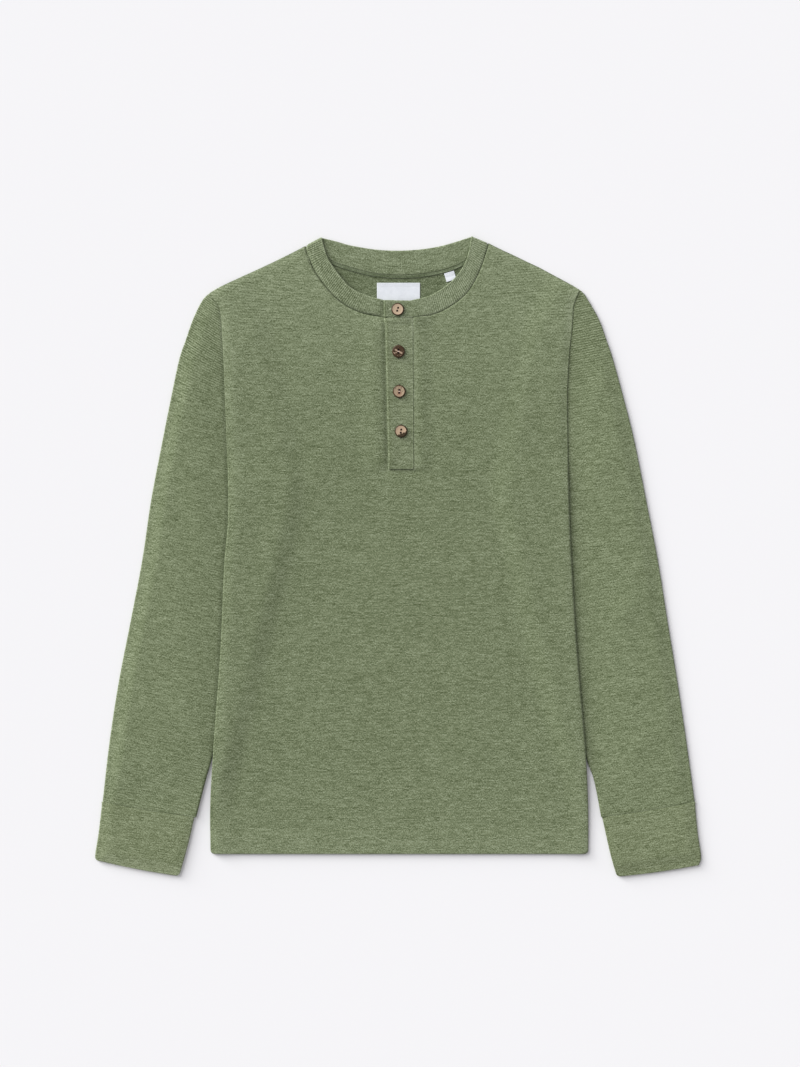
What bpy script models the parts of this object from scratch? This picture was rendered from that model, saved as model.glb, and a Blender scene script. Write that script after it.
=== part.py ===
"""A long-sleeved henley shirt in heathered knit, laid flat with its front up.

The cloth lies on the plane z = 0 and the front faces +Z. The neck is toward +Y, and the hem toward -Y.
Left and right are the wearer's, so the wearer's left sleeve is at +X. The origin is the centre of the outline
on the surface that the shirt rests on. All sizes below are in millimetres, and piece() turns them to metres.

The layers, from the surface up: at the middle the back panel and then the front panel; under each side of the
body the sleeve, a flat tube of two walls, and then the back and the front panel, which climb over it. Above
the underarm the sleeve's upper wall runs between back and front, because there the tube opens into the body.
"""

import math

import bmesh
import bpy
import numpy as np

MM = 0.001

# Thickness of each kind of piece, and the gap left between pieces that touch.
KNIT = 1.2
BAND = 1.8
CUFF_WALL = 1.8
PLACKET = 1.6
TAPE = 0.5
LABEL = 0.4
GAP = 0.3
LAYER = KNIT + GAP

# The outline of the body. Each row: height on the plane, edge on the wearer's right, edge on the left.
BODY_EDGES = [
    # height, right x, left x
    (309.0, -220.0, 217.0),
    (290.0, -210.0, 203.5),
    (262.0, -206.3, 200.7),
    (230.0, -204.7, 198.3),
    (180.0, -203.0, 196.7),
    (90.0, -199.7, 198.2),
    (40.0, -199.7, 199.6),
    (-10.0, -204.0, 202.0),
    (-110.0, -208.4, 208.2),
    (-220.0, -215.6, 217.6),
    (-290.0, -219.6, 221.2),
    (-346.4, -219.2, 221.4),
]
# The outer fold of each sleeve, from the shoulder seam over the cap to the cuff seam.
SLEEVE_OUTER = [
    # height, right x, left x
    (316.3, -206.0, 204.0),
    (309.0, -219.5, 215.6),
    (299.0, -230.0, 222.6),
    (276.6, -241.0, 235.2),
    (253.2, -249.2, 242.6),
    (229.9, -257.0, 251.5),
    (183.2, -266.9, 264.3),
    (136.5, -276.2, 276.0),
    (66.5, -289.6, 290.0),
    (-3.5, -300.0, 303.6),
    (-73.5, -313.3, 314.8),
    (-143.5, -327.0, 326.2),
    (-213.6, -337.9, 336.7),
    (-285.8, -346.4, 346.8),
]
# The sleeve's inner side: the armhole seam down to the underarm, then the inner fold down to the cuff seam.
SLEEVE_INNER = [
    # height, right x, left x
    (316.3, -206.0, 204.0),
    (270.0, -186.5, 185.5),
    (210.0, -170.5, 170.0),
    (140.0, -155.5, 155.5),
    (78.2, -145.3, 145.3),
    (0.0, -161.0, 161.0),
    (-120.0, -190.0, 190.0),
    (-227.6, -217.2, 218.2),
    (-260.2, -226.2, 229.4),
    (-303.6, -237.0, 237.2),
]
UNDERARM = 78.2
CUFF_BOW = 2.0
# The shoulder seam, from the neckband out to the sleeve.
SHOULDERS = [
    # distance from the centre line, height on the right, height on the left
    (80.0, 373.2, 374.2),
    (107.0, 362.4, 364.4),
    (135.0, 351.2, 353.6),
    (165.0, 337.8, 340.0),
    (190.0, 326.2, 326.2),
    (209.0, 316.6, 315.0),
    (222.0, 308.0, 304.5),
]
# The neckband's front half as it lies, from the right shoulder fold round to the left one.
FRONT_NECK = [
    # seam x, seam y, free edge x, free edge y
    (-109.1, 361.8, -89.2, 372.2),
    (-105.3, 348.0, -85.2, 357.0),
    (-92.8, 324.8, -78.6, 342.5),
    (-70.6, 299.5, -57.5, 316.0),
    (-45.5, 285.2, -37.0, 305.2),
    (-16.9, 279.2, -16.9, 299.6),
    (16.5, 279.2, 14.0, 299.0),
    (40.0, 283.2, 35.5, 304.6),
    (60.5, 292.8, 53.0, 314.6),
    (80.5, 309.6, 68.5, 329.0),
    (94.5, 334.5, 79.5, 347.8),
    (105.4, 365.0, 84.8, 373.4),
]
# The neckband's back half, under the front one at the shoulders, from the left shoulder to the right one.
BACK_NECK = [
    # seam x, seam y, free edge x, free edge y
    (105.4, 365.0, 84.8, 373.4),
    (78.0, 345.4, 63.6, 366.6),
    (57.8, 336.4, 47.0, 362.2),
    (30.0, 330.4, 25.0, 358.8),
    (0.0, 328.6, 0.0, 357.4),
    (-30.0, 331.2, -26.0, 358.6),
    (-60.0, 338.8, -55.4, 363.4),
    (-80.0, 346.4, -72.0, 368.0),
    (-109.1, 361.8, -89.2, 372.2),
]
NECK_STEPS = 7
# How much shorter the band's seam side is where it rolls over at the shoulder, and the space in the roll.
FOLD_TRIM = 1.6
FOLD_SPACE = 0.5
# How far the band's right end runs on under its left end, from the centre line, and the slope of the lap.
UNDER_LAP = 12.0
LAP_SLOPE = 34.0

# The placket, which leans a little. It hides a slit that is narrower by PLACKET_LAP all round.
PLACKET_TOP_X = (-16.9, 16.5)
PLACKET_BOTTOM_X = (-13.1, 17.3)
PLACKET_BOTTOM = 102.3
PLACKET_LAP = 2.3
BUTTONS = [
    # x, y
    (-0.9, 288.4),
    (0.0, 239.5),
    (0.9, 192.9),
    (3.0, 146.6),
]
BUTTON_WIDTH = 14.0
BUTTON_HEIGHT = 2.8
BUTTON_HOLE = 1.9
BUTTON_HOLE_PITCH = 4.0

# How the cloth climbs onto the sleeve under it: how far it stays level past the sleeve's edge, the width of
# the slope, and the heights between which it comes down again near the hem.
CLIMB_LEVEL = 12.0
CLIMB_SLOPE = 30.0
CLIMB_ENDS = (-335.0, -230.0)
UNDERARM_SLOPE = 45.0
# The soft roll along the side edge: how much it rises, how far in its top is, and the width of its slope.
SWELL = 0.9
SWELL_TOP = 9.0
SWELL_SLOPE = 30.0
# The rise of the front toward the neckband, and the width of its slope.
NECK_RISE = 1.1
NECK_SLOPE = 45.0
# The height at which front and back meet at the shoulder, and how much it rises at the band and the sleeve.
SHOULDER_LEVEL = KNIT + 0.5 * GAP
SHOULDER_RISE_NECK = 0.75
SHOULDER_RISE_SLEEVE = 1.5
SHOULDER_SLOPE = 14.0

# The tape over the back neck seam: its width, and how far it reaches from the centre line.
TAPE_WIDTH = 3.6
TAPE_REACH = 84.0
LABELS = [
    # name, middle of the top edge x, y, width, height, lean in degrees
    ("main_label", 0.0, 319.8, 50.2, 31.0, 0.0),
    ("size_label", 58.9, 332.3, 12.0, 10.4, 17.0),
]

# Lines across the body, from the hem up to just under the neck, and shares of the rest up to the shoulder.
ROWS = [-346.4, -344.8, -336.0, -295.0, -250.0, -200.0, -145.0, -90.0, -35.0, 20.0]
ROWS += [UNDERARM, PLACKET_BOTTOM + PLACKET_LAP, 150.0, 195.0, 240.0]
UPPER_ROWS = [0.35, 0.65, 0.88, 0.975, 1.0]
UNDERARM_ROW = ROWS.index(UNDERARM)
SLIT_ROW = ROWS.index(PLACKET_BOTTOM + PLACKET_LAP)
# Where the neck's outermost column meets the hem and the line under the neck.
NECK_COLUMN = (108.0, 99.0)
# Columns from the body's side edge to the armhole seam, as shares, and then on to the neckband.
SIDE_COLUMNS = [0.0, 0.03, 0.1, 0.26, 0.5, 0.75, 1.0]
SHOULDER_COLUMNS = [0.3, 0.62, 1.0]

# The sleeve's rows from armhole to cuff, and its columns from the outer to the inner fold, as shares.
SLEEVE_ROWS = [0.0, 0.04, 0.09, 0.17, 0.27, 0.38, 0.5, 0.62, 0.74, 0.85, 0.94, 0.985, 1.0]
TUBE_COLUMNS = [0.0, 0.006, 0.022, 0.08, 0.2, 0.36, 0.52, 0.68, 0.82, 0.92, 0.978, 0.994, 1.0]
CUFF_ROWS = [0.0, 0.12, 0.5, 0.9, 0.975, 1.0]
# Each cuff's outer and inner folds, from the seam down to the lower edge: x, y.
CUFF_OUTER_RIGHT = [(-347.0, -286.2), (-347.0, -291.5), (-350.6, -323.3), (-354.4, -349.5), (-351.4, -355.6)]
CUFF_INNER_RIGHT = [(-237.0, -304.0), (-238.2, -308.4), (-242.2, -327.0), (-247.8, -348.0), (-255.2, -371.0)]
CUFF_OUTER_LEFT = [(347.2, -286.2), (347.2, -291.5), (350.6, -323.3), (354.6, -350.5), (350.6, -361.2)]
CUFF_INNER_LEFT = [(237.2, -304.0), (238.8, -308.8), (243.4, -329.0), (248.0, -349.0), (255.0, -371.4)]

# Finishes, as red, green and blue from 0 to 255, and roughness.
KNIT_GREEN = ((121, 131, 102), 0.92)
RIB_GREEN = ((126, 135, 105), 0.92)
TAPE_GREEN = ((104, 115, 88), 0.92)
WOVEN_WHITE = ((226, 229, 232), 0.75)
BUTTON_HORN = ((150, 116, 92), 0.38)


def smooth(share):
    """An even ramp from 0 to 1 that starts and ends level."""
    share = np.clip(share, 0.0, 1.0)
    return share * share * (3.0 - 2.0 * share)


def curve_at(points, where):
    """Points at the shares `where` of a smooth curve's length, through points of any number of columns."""
    points = np.array(points, float)
    before = np.vstack([2 * points[0] - points[1], points[:-2]])
    after = np.vstack([points[2:], 2 * points[-1] - points[-2]])
    start, end = points[:-1], points[1:]
    fine = np.linspace(0.0, 1.0, 24, endpoint=False)[:, None, None]
    line = 0.5 * (
        2 * start
        + (end - before) * fine
        + (2 * before - 5 * start + 4 * end - after) * fine**2
        + (3 * start - before - 3 * end + after) * fine**3
    )
    line = np.vstack([line.transpose(1, 0, 2).reshape(-1, points.shape[1]), points[-1:]])
    steps = np.hypot(*np.diff(line[:, :2], axis=0).T)
    length = np.concatenate([[0.0], np.cumsum(steps)])
    where = np.asarray(where, float) * length[-1]
    return np.column_stack([np.interp(where, length, column) for column in line.T])


def edge_at(table, heights, side):
    """The x of an edge table at each height: side is -1 for the wearer's right and +1 for the left."""
    rows = np.array(table)[::-1]
    line = curve_at(rows[:, [0, 1 if side < 0 else 2]], np.linspace(0.0, 1.0, 200))
    return np.interp(heights, line[:, 0], line[:, 1])


def shoulder_at(x):
    """The height of the shoulder seam at each x."""
    away, right, left = np.array(SHOULDERS).T
    return np.where(x < 0, np.interp(-x, away, right), np.interp(x, away, left))


def placket_edge(height, edge):
    """The x of the placket's free edge (0) or stitched edge (1) at a height."""
    share = (height - PLACKET_BOTTOM) / (FRONT_NECK[5][1] - PLACKET_BOTTOM)
    return PLACKET_BOTTOM_X[edge] + share * (PLACKET_TOP_X[edge] - PLACKET_BOTTOM_X[edge])


def neck_stations(table, first, last):
    """The band's stations between two rows of a neck table: seam x, seam y, free edge x, free edge y."""
    return curve_at(table[first : last + 1], np.linspace(0.0, 1.0, NECK_STEPS + 1))


def front_neck():
    """Stations of the front neckline, right to left, with the placket's width as the middle two steps."""
    right = neck_stations(FRONT_NECK, 0, 5)
    left = neck_stations(FRONT_NECK, 6, 11)
    middle = 0.5 * (right[-1] + left[0])
    return np.vstack([right, [middle], left])


def back_neck():
    """Stations of the back neckline, right to left, as many as the front has."""
    return curve_at(BACK_NECK[::-1], np.linspace(0.0, 1.0, 2 * NECK_STEPS + 3))


FRONT_SEAM = front_neck()
BACK_SEAM = back_neck()


def distance_inside(table, x, y):
    """How far a point lies from an edge table toward the centre line, measured across the body."""
    edge = np.where(x < 0, -edge_at(table, y, -1), edge_at(table, y, 1))
    return edge - np.abs(x)


def sleeve_climb(x, y):
    """How far the cloth has climbed onto the sleeve under it: 1 over the sleeve, 0 on the flat body.

    Where the sleeve leaves the body near the hem, the cloth comes down again.
    """
    inward = distance_inside(SLEEVE_INNER, x, y)
    low, high = CLIMB_ENDS
    return (1.0 - smooth((inward - CLIMB_LEVEL) / CLIMB_SLOPE)) * smooth((y - low) / (high - low))


def below_underarm(y):
    """1 below the underarm, where the back panel lies over the sleeve, easing to 0 above it."""
    return smooth((UNDERARM + UNDERARM_SLOPE - y) / UNDERARM_SLOPE)


def side_swell(x, y):
    """The height of the soft roll just inside the body's side edge."""
    inward = distance_inside(BODY_EDGES, x, y)
    return SWELL * smooth(inward / SWELL_TOP) * (1.0 - smooth((inward - SWELL_TOP) / SWELL_SLOPE))


def shoulder_level(x):
    """The height at which front and back meet along the shoulder seam."""
    reach = np.abs(x)
    at_neck = SHOULDER_RISE_NECK * smooth((150.0 - reach) / 40.0)
    at_sleeve = SHOULDER_RISE_SLEEVE * smooth((reach - 165.0) / 38.0)
    return SHOULDER_LEVEL + at_neck + at_sleeve


def near_shoulder(x, y):
    """1 on the shoulder seam, easing to 0 below it and beside the neckline."""
    beside_neck = smooth((np.abs(x) - 96.0) / 10.0)
    return (1.0 - smooth((shoulder_at(x) - y) / SHOULDER_SLOPE)) * beside_neck


def near_front_neck(x, y):
    """1 on the front neckline, easing to 0 away from it."""
    away = np.hypot(x[..., None] - FRONT_SEAM[:, 0], y[..., None] - FRONT_SEAM[:, 1]).min(axis=-1)
    return 1.0 - smooth(away / NECK_SLOPE)


def front_low(x, y):
    """The underside of the front panel."""
    low = LAYER + sleeve_climb(x, y) * (LAYER + LAYER * below_underarm(y))
    low = low + NECK_RISE * near_front_neck(x, y) + side_swell(x, y)
    return low + near_shoulder(x, y) * (shoulder_level(x) + 0.5 * GAP - low)


def back_low(x, y):
    """The underside of the back panel."""
    low = 2 * LAYER * sleeve_climb(x, y) * below_underarm(y)
    return low + near_shoulder(x, y) * (shoulder_level(x) - 0.5 * GAP - KNIT - low)


def material(name, finish):
    """A Principled material in a colour given from 0 to 255, as a screen shows it."""
    shades, roughness = finish
    made = bpy.data.materials.new(name)
    made.use_nodes = True
    shader = made.node_tree.nodes["Principled BSDF"]
    linear = [((shade / 255 + 0.055) / 1.055) ** 2.4 for shade in shades]
    shader.inputs["Base Color"].default_value = (*linear, 1.0)
    shader.inputs["Roughness"].default_value = roughness
    shader.inputs["Metallic"].default_value = 0.0
    return made


def piece(name, points, faces, finish):
    """An object made from points in millimetres and faces, with its normals turned outwards."""
    mesh = bpy.data.meshes.new(name)
    mesh.from_pydata((np.asarray(points, float) * MM).tolist(), [], faces)
    made = bmesh.new()
    made.from_mesh(mesh)
    bmesh.ops.recalc_face_normals(made, faces=made.faces[:])
    if made.calc_volume(signed=True) < 0:
        bmesh.ops.reverse_faces(made, faces=made.faces[:])
    made.to_mesh(mesh)
    made.free()
    mesh.materials.append(material(name + "_finish", finish))
    mesh.shade_smooth()
    mesh.set_sharp_from_angle(angle=math.radians(40.0))
    made = bpy.data.objects.new(name, mesh)
    bpy.context.scene.collection.objects.link(made)
    return made


def wall(name, plan, low, high, finish, kept=None):
    """A closed sheet from a grid of plan points, with its lower and upper heights.

    kept says which cells of the grid are there. A rim joins the two faces wherever a kept cell has no
    neighbour.
    """
    rows, columns = low.shape
    if kept is None:
        kept = np.ones((rows - 1, columns - 1), bool)
    number = np.arange(rows * columns).reshape(rows, columns)
    top = rows * columns
    faces = []
    for i, j in np.argwhere(kept):
        ring = [number[i, j], number[i, j + 1], number[i + 1, j + 1], number[i + 1, j]]
        for half in (ring[:3], [ring[0], *ring[2:]]):
            faces.append([top + corner for corner in half])
            faces.append(half[::-1])
        beside = [(i - 1, j), (i, j + 1), (i + 1, j), (i, j - 1)]
        for edge, (row, column) in enumerate(beside):
            inside = 0 <= row < rows - 1 and 0 <= column < columns - 1
            if not (inside and kept[row, column]):
                start, end = ring[edge], ring[(edge + 1) % 4]
                faces.append([start, end, top + end, top + start])
    points = np.vstack([np.dstack([plan, low]).reshape(-1, 3), np.dstack([plan, high]).reshape(-1, 3)])
    used = np.unique(np.concatenate([np.array(face) for face in faces]))
    renumber = np.zeros(len(points), int)
    renumber[used] = np.arange(len(used))
    return piece(name, points[used], [renumber[face].tolist() for face in faces], finish)


def patch(across_start, across_end, along_start, along_end, rows, columns):
    """Plan points of a four-sided patch, blended from its two end lines and its two side lines.

    The end lines are sampled at the columns' shares, the side lines at the rows' shares.
    """
    row = np.asarray(rows)[:, None, None]
    column = np.asarray(columns)[None, :, None]
    ends = (1 - row) * across_start[None] + row * across_end[None]
    sides = (1 - column) * along_start[:, None] + column * along_end[:, None]
    corners = (1 - row) * ((1 - column) * across_start[0] + column * across_start[-1])
    corners = corners + row * ((1 - column) * across_end[0] + column * across_end[-1])
    return ends + sides - corners


def drawn_in(row, columns, inset):
    """One row of plan points, drawn in from both ends by a share of the width."""
    shares = inset + (1 - 2 * inset) * columns
    return np.column_stack([np.interp(shares, columns, row[:, axis]) for axis in (0, 1)])


def tube(name, patch_at, rows, wall_width, hollow, finish):
    """A flattened tube resting on z = 0, open at both ends.

    patch_at gives the plan points for a list of rows and columns. hollow is the space between the two walls
    at each row. Both folded sides are half round.
    """
    columns, hollow = np.array(TUBE_COLUMNS), hollow[:, None]
    count = len(rows)
    outer = patch_at(rows, columns)
    width = np.hypot(*np.moveaxis(outer[:, -1] - outer[:, 0], -1, 0))[:, None]
    half = wall_width + 0.5 * hollow
    inset = wall_width / width

    def ring(share, thick):
        """Heights above and below the middle at a share of the width, round at both folds."""
        away = np.minimum(share, 1.0 - share) * width
        return np.sqrt(np.maximum(thick**2 - np.maximum(thick - away, 0.0) ** 2, 0.0))

    inner = np.array([drawn_in(row, columns, share[0]) for row, share in zip(outer, inset)])
    outer_rise = ring(columns, half)
    inner_rise = ring(columns, 0.5 * hollow)
    loops = []
    for plan, rise in ((outer, outer_rise), (inner, inner_rise)):
        above = np.dstack([plan, half + rise])
        below = np.dstack([plan, half - rise])[:, -2:0:-1]
        loops.append(np.concatenate([above, below], axis=1))
    around = loops[0].shape[1]
    points = np.vstack([loop.reshape(-1, 3) for loop in loops])
    number = np.arange(2 * count * around).reshape(2, count, around)
    faces = []
    for j in range(around):
        k = (j + 1) % around
        for i in range(count - 1):
            for loop in number:
                faces.append([loop[i, j], loop[i, k], loop[i + 1, k], loop[i + 1, j]])
        for i in (0, count - 1):
            faces.append([number[0, i, j], number[1, i, j], number[1, i, k], number[0, i, k]])
    return piece(name, points, [[int(corner) for corner in face] for face in faces], finish)


def armhole_line(side):
    """The armhole seam on the plane, from the underarm up to the shoulder, at the body's own lines."""
    heights = np.array(ROWS[UNDERARM_ROW:])
    top = SLEEVE_INNER[0][0]
    heights = np.concatenate([heights, heights[-1] + np.array(UPPER_ROWS) * (top - heights[-1])])
    return np.column_stack([edge_at(SLEEVE_INNER, heights, side), heights])


def body_plan():
    """Plan points of front and back: the shared grid, with the front's and the back's own neckline."""
    heights = np.array(ROWS)
    halves = []
    for side in (-1, 1):
        edge = edge_at(BODY_EDGES, heights, side)
        armhole = edge_at(SLEEVE_INNER, heights, side)
        inward = edge_at(SLEEVE_INNER, UNDERARM, side) - edge_at(BODY_EDGES, UNDERARM, side)
        seam = np.where(heights > UNDERARM, armhole, edge + inward)
        slit = placket_edge(heights, 0 if side < 0 else 1) - side * PLACKET_LAP
        neck = side * np.interp(heights, [ROWS[0], ROWS[-1]], NECK_COLUMN)
        lines = [edge + share * (seam - edge) for share in SIDE_COLUMNS]
        lines += [seam + share * (neck - seam) for share in SHOULDER_COLUMNS]
        steps = np.linspace(0.0, 1.0, NECK_STEPS + 1)[1:]
        lines += [neck + share * (slit - neck) for share in steps]
        halves.append(np.array(lines).T)
    middle = 0.5 * (halves[0][:, -1] + halves[1][:, -1])
    x = np.hstack([halves[0], middle[:, None], halves[1][:, ::-1]])
    lower = np.dstack([x, np.repeat(heights[:, None], x.shape[1], axis=1)])
    plans = []
    for seam in (FRONT_SEAM, BACK_SEAM):
        plans.append(np.concatenate([lower, upper_plan(lower[-1], seam)]))
    return plans


def upper_plan(base, seam):
    """Plan points from the line under the neck up to the shoulders and the neckline."""
    shares = np.array(UPPER_ROWS)[:, None]
    side_count, shoulder_count = len(SIDE_COLUMNS), len(SHOULDER_COLUMNS)
    upper = np.zeros((len(shares), len(base), 2))
    inner = slice(side_count + shoulder_count, len(base) - side_count - shoulder_count)
    for axis in (0, 1):
        upper[:, inner, axis] = base[inner, axis] + shares * (seam[1:-1, axis] - base[inner, axis])
    tip_height = BODY_EDGES[0][0]
    for side, neck in ((-1, seam[0]), (1, seam[-1])):
        heights = base[0, 1] + shares[:, 0] * (tip_height - base[0, 1])
        edge = np.column_stack([edge_at(BODY_EDGES, heights, side), heights])
        armhole = armhole_line(side)[-len(shares) :]
        start = base[side_count - 1 if side < 0 else -side_count]
        straight = start + shares * (armhole[-1] - start)
        lines = [edge + share * (armhole - edge) for share in SIDE_COLUMNS]
        for number, share in enumerate(SHOULDER_COLUMNS):
            foot = base[side_count + number if side < 0 else -side_count - 1 - number]
            x = armhole[-1, 0] + share * (neck[0] - armhole[-1, 0])
            top = neck[:2] if share == 1.0 else np.array([x, shoulder_at(np.array(x))])
            lines.append(foot + shares * (top - foot) + (1 - share) * (armhole - straight))
        for number, line in enumerate(lines):
            upper[:, number if side < 0 else -1 - number] = line
    return upper


def rounded(shape, sides, top):
    """Share of the full wall at each grid point: thin at the outer edges, so that they look rounded."""
    share = np.ones(shape)
    if sides:
        for column, most in ((0, 0.35), (1, 0.9)):
            share[:, [column, -1 - column]] = most
    share[0] = np.minimum(share[0], 0.45)
    share[1] = np.minimum(share[1], 0.92)
    for row, most in ((-1, 0.4), (-2, 0.92)):
        share[row, top] = np.minimum(share[row, top], most)
    return share


def build_body():
    """The front with its slit, and the back that ends at the armhole seams."""
    front, back = body_plan()
    rows, columns = front.shape[:2]
    side, shoulder = len(SIDE_COLUMNS) - 1, len(SHOULDER_COLUMNS)
    neck = side + shoulder
    slit = neck + NECK_STEPS
    shoulders = np.r_[0:neck, columns - neck : columns]

    low = front_low(front[..., 0], front[..., 1])
    kept = np.ones((rows - 1, columns - 1), bool)
    kept[SLIT_ROW:, slit : columns - 1 - slit] = False
    share = rounded((rows, columns), True, shoulders)
    wall("front_panel", front, low, low + KNIT * share, KNIT_GREEN, kept)

    low = back_low(back[..., 0], back[..., 1])
    kept = np.ones((rows - 1, columns - 1), bool)
    kept[UNDERARM_ROW:, :side] = False
    kept[UNDERARM_ROW:, columns - 1 - side :] = False
    share = rounded((rows, columns), False, shoulders)
    share[: UNDERARM_ROW + 1, [0, -1]] = 0.35
    share[: UNDERARM_ROW + 1, [1, -2]] = 0.9
    high = low + KNIT
    for seam in (side, columns - 1 - side):
        inner = 1 if seam == side else -1
        back[UNDERARM_ROW:, seam, 0] += inner * 1.1 * GAP
    wall("back_panel", back, high - KNIT * share, high, KNIT_GREEN, kept)


def build_sleeve(name, side):
    """One sleeve: the armhole from shoulder to underarm, the outer and inner folds, and the cuff seam."""
    column = 1 if side < 0 else 2
    outer = np.array(SLEEVE_OUTER)[:, [column, 0]]
    inner = np.array(SLEEVE_INNER)[:, [column, 0]]
    underarm = [row[0] for row in SLEEVE_INNER].index(UNDERARM)
    armhole = armhole_line(side)[::-1]
    along = np.concatenate([[0.0], np.cumsum(np.hypot(*np.diff(armhole, axis=0).T))])
    fold = inner[underarm:]

    def patch_at(rows, columns):
        cuff = bowed(outer[-1], inner[-1], columns)
        mouth = np.column_stack([np.interp(columns * along[-1], along, line) for line in armhole.T])
        return patch(mouth, cuff, curve_at(outer, rows), curve_at(fold, rows), rows, columns)

    rows = np.array(SLEEVE_ROWS)
    hollow = GAP + 2 * (CUFF_WALL - KNIT) * smooth((rows - 0.86) / 0.14)
    tube(name, patch_at, rows, KNIT, hollow, KNIT_GREEN)


def bowed(start, end, columns):
    """A line across a cuff, bowed a little toward the hand."""
    start, end = np.array(start), np.array(end)
    bow = np.column_stack([0.0 * columns, -CUFF_BOW * np.sin(math.pi * columns)])
    return start + columns[:, None] * (end - start) + bow


def build_cuff(name, outer, inner):
    """One cuff: a short flat tube, a little proud of the sleeve."""

    def patch_at(rows, columns):
        seam = bowed(outer[0], inner[0], columns)
        low = bowed(outer[-1], inner[-1], columns)
        return patch(seam, low, curve_at(outer, rows), curve_at(inner, rows), rows, columns)

    rows = np.array(CUFF_ROWS)
    tube(name, patch_at, rows, CUFF_WALL, np.full(len(rows), GAP), KNIT_GREEN)


def build_neckband():
    """The neckband: one strip from its under end, round the right shoulder, the back and the left shoulder.

    Each station has a seam point and a free-edge point. The strip folds over at the shoulders round a small
    roll, and its left end climbs over its right end at centre front.
    """
    radius = 0.5 * (BAND + FOLD_SPACE)
    front_middle = 1.5 * BAND + FOLD_SPACE
    stations = []

    up, down = np.array([0.0, 0.0, 1.0]), np.array([0.0, 0.0, -1.0])

    def add(seam, free, level, facing):
        stations.append((np.array(seam), np.array(free), level, facing))

    def fold(station, first, last):
        seam, free = station[:2], station[2:]
        along = (free - seam) / np.hypot(*(free - seam))
        outward = np.array([-along[1], along[0]]) * (1 if along[0] > 0 else -1)
        middle = -radius * outward
        for turn in np.linspace(first, last, 5):
            angle = math.radians(turn)
            shift = middle + radius * math.cos(angle) * outward
            level = 0.5 * BAND + radius * (1 + math.sin(angle))
            facing = np.array([*(math.cos(angle) * outward), math.sin(angle)])
            add(seam + shift + FOLD_TRIM * along, free + shift, level, facing)

    middle = NECK_STEPS + 1
    front, back = FRONT_SEAM, BACK_SEAM
    start = front[middle] + np.array([UNDER_LAP, 0.0, UNDER_LAP, 0.0])
    add(start[:2], start[2:], front_middle, up)
    for station in front[middle:0:-1]:
        add(station[:2], station[2:], front_middle, up)
    fold(front[0], 90.0, -90.0)
    for station in back[1:-1]:
        add(station[:2], station[2:], 0.5 * BAND, down)
    fold(back[-1], -90.0, 90.0)
    lap = BAND + GAP
    for station in front[-2 : middle - 2 : -1]:
        away = station[0] - PLACKET_TOP_X[1]
        rise = 1.0 - smooth(away / LAP_SLOPE)
        add(station[:2], station[2:], front_middle + lap * rise, up)

    rings = []
    for seam, free, level, facing in stations:
        across = (free - seam) / np.hypot(*(free - seam))
        half = 0.5 * BAND * facing
        seam = np.array([*(seam + 1.2 * GAP * across), level])
        free = np.array([*free, level])
        inset = np.array([*(1.1 * across), 0.0])
        rings.append(
            [
                seam - half,
                free - inset - half,
                free - 0.3 * inset - 0.7 * half,
                free,
                free - 0.3 * inset + 0.7 * half,
                free - inset + half,
                seam + half,
            ]
        )
    rings = np.array(rings)
    sides = rings.shape[1]
    faces = []
    for i in range(len(rings) - 1):
        for j in range(sides):
            k = (j + 1) % sides
            faces.append([i * sides + j, i * sides + k, (i + 1) * sides + k, (i + 1) * sides + j])
    faces.append(list(range(sides)))
    faces.append([(len(rings) - 1) * sides + j for j in range(sides)])
    piece("neckband", rings.reshape(-1, 3), faces, RIB_GREEN)


def placket_rows():
    """Heights down the placket: the panel's own lines, so that the pieces keep their gap."""
    top = FRONT_NECK[5][1]
    return np.array(ROWS[SLIT_ROW:] + [ROWS[-1] + share * (top - ROWS[-1]) for share in UPPER_ROWS])


def build_plackets():
    """The under placket fills the slit, and the upper one lies over it and laps the panel all round."""
    rows = placket_rows()
    rows[-1] -= 1.2 * GAP
    low_rows = rows.copy()
    low_rows[0] += GAP
    edges = [placket_edge(low_rows, 0) + PLACKET_LAP + GAP, placket_edge(low_rows, 1) - PLACKET_LAP - GAP]
    x = edges[0][:, None] + np.array([0.0, 0.5, 1.0]) * (edges[1] - edges[0])[:, None]
    plan = np.dstack([x, np.repeat(low_rows[:, None], 3, axis=1)])
    low = front_low(plan[..., 0], plan[..., 1])
    wall("placket_under", plan, low, low + KNIT, KNIT_GREEN)

    rows[0] = PLACKET_BOTTOM
    shares = np.array([0.0, 0.045, 0.5, 0.955, 1.0])
    edges = [placket_edge(rows, 0), placket_edge(rows, 1)]
    x = edges[0][:, None] + shares * (edges[1] - edges[0])[:, None]
    plan = np.dstack([x, np.repeat(rows[:, None], len(shares), axis=1)])
    low = front_low(plan[..., 0], plan[..., 1]) + KNIT + GAP
    share = np.ones(low.shape)
    share[:, [0, -1]] = 0.55
    share[0] = np.minimum(share[0], 0.55)
    wall("placket_top", plan, low, low + PLACKET * share, KNIT_GREEN)


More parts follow.
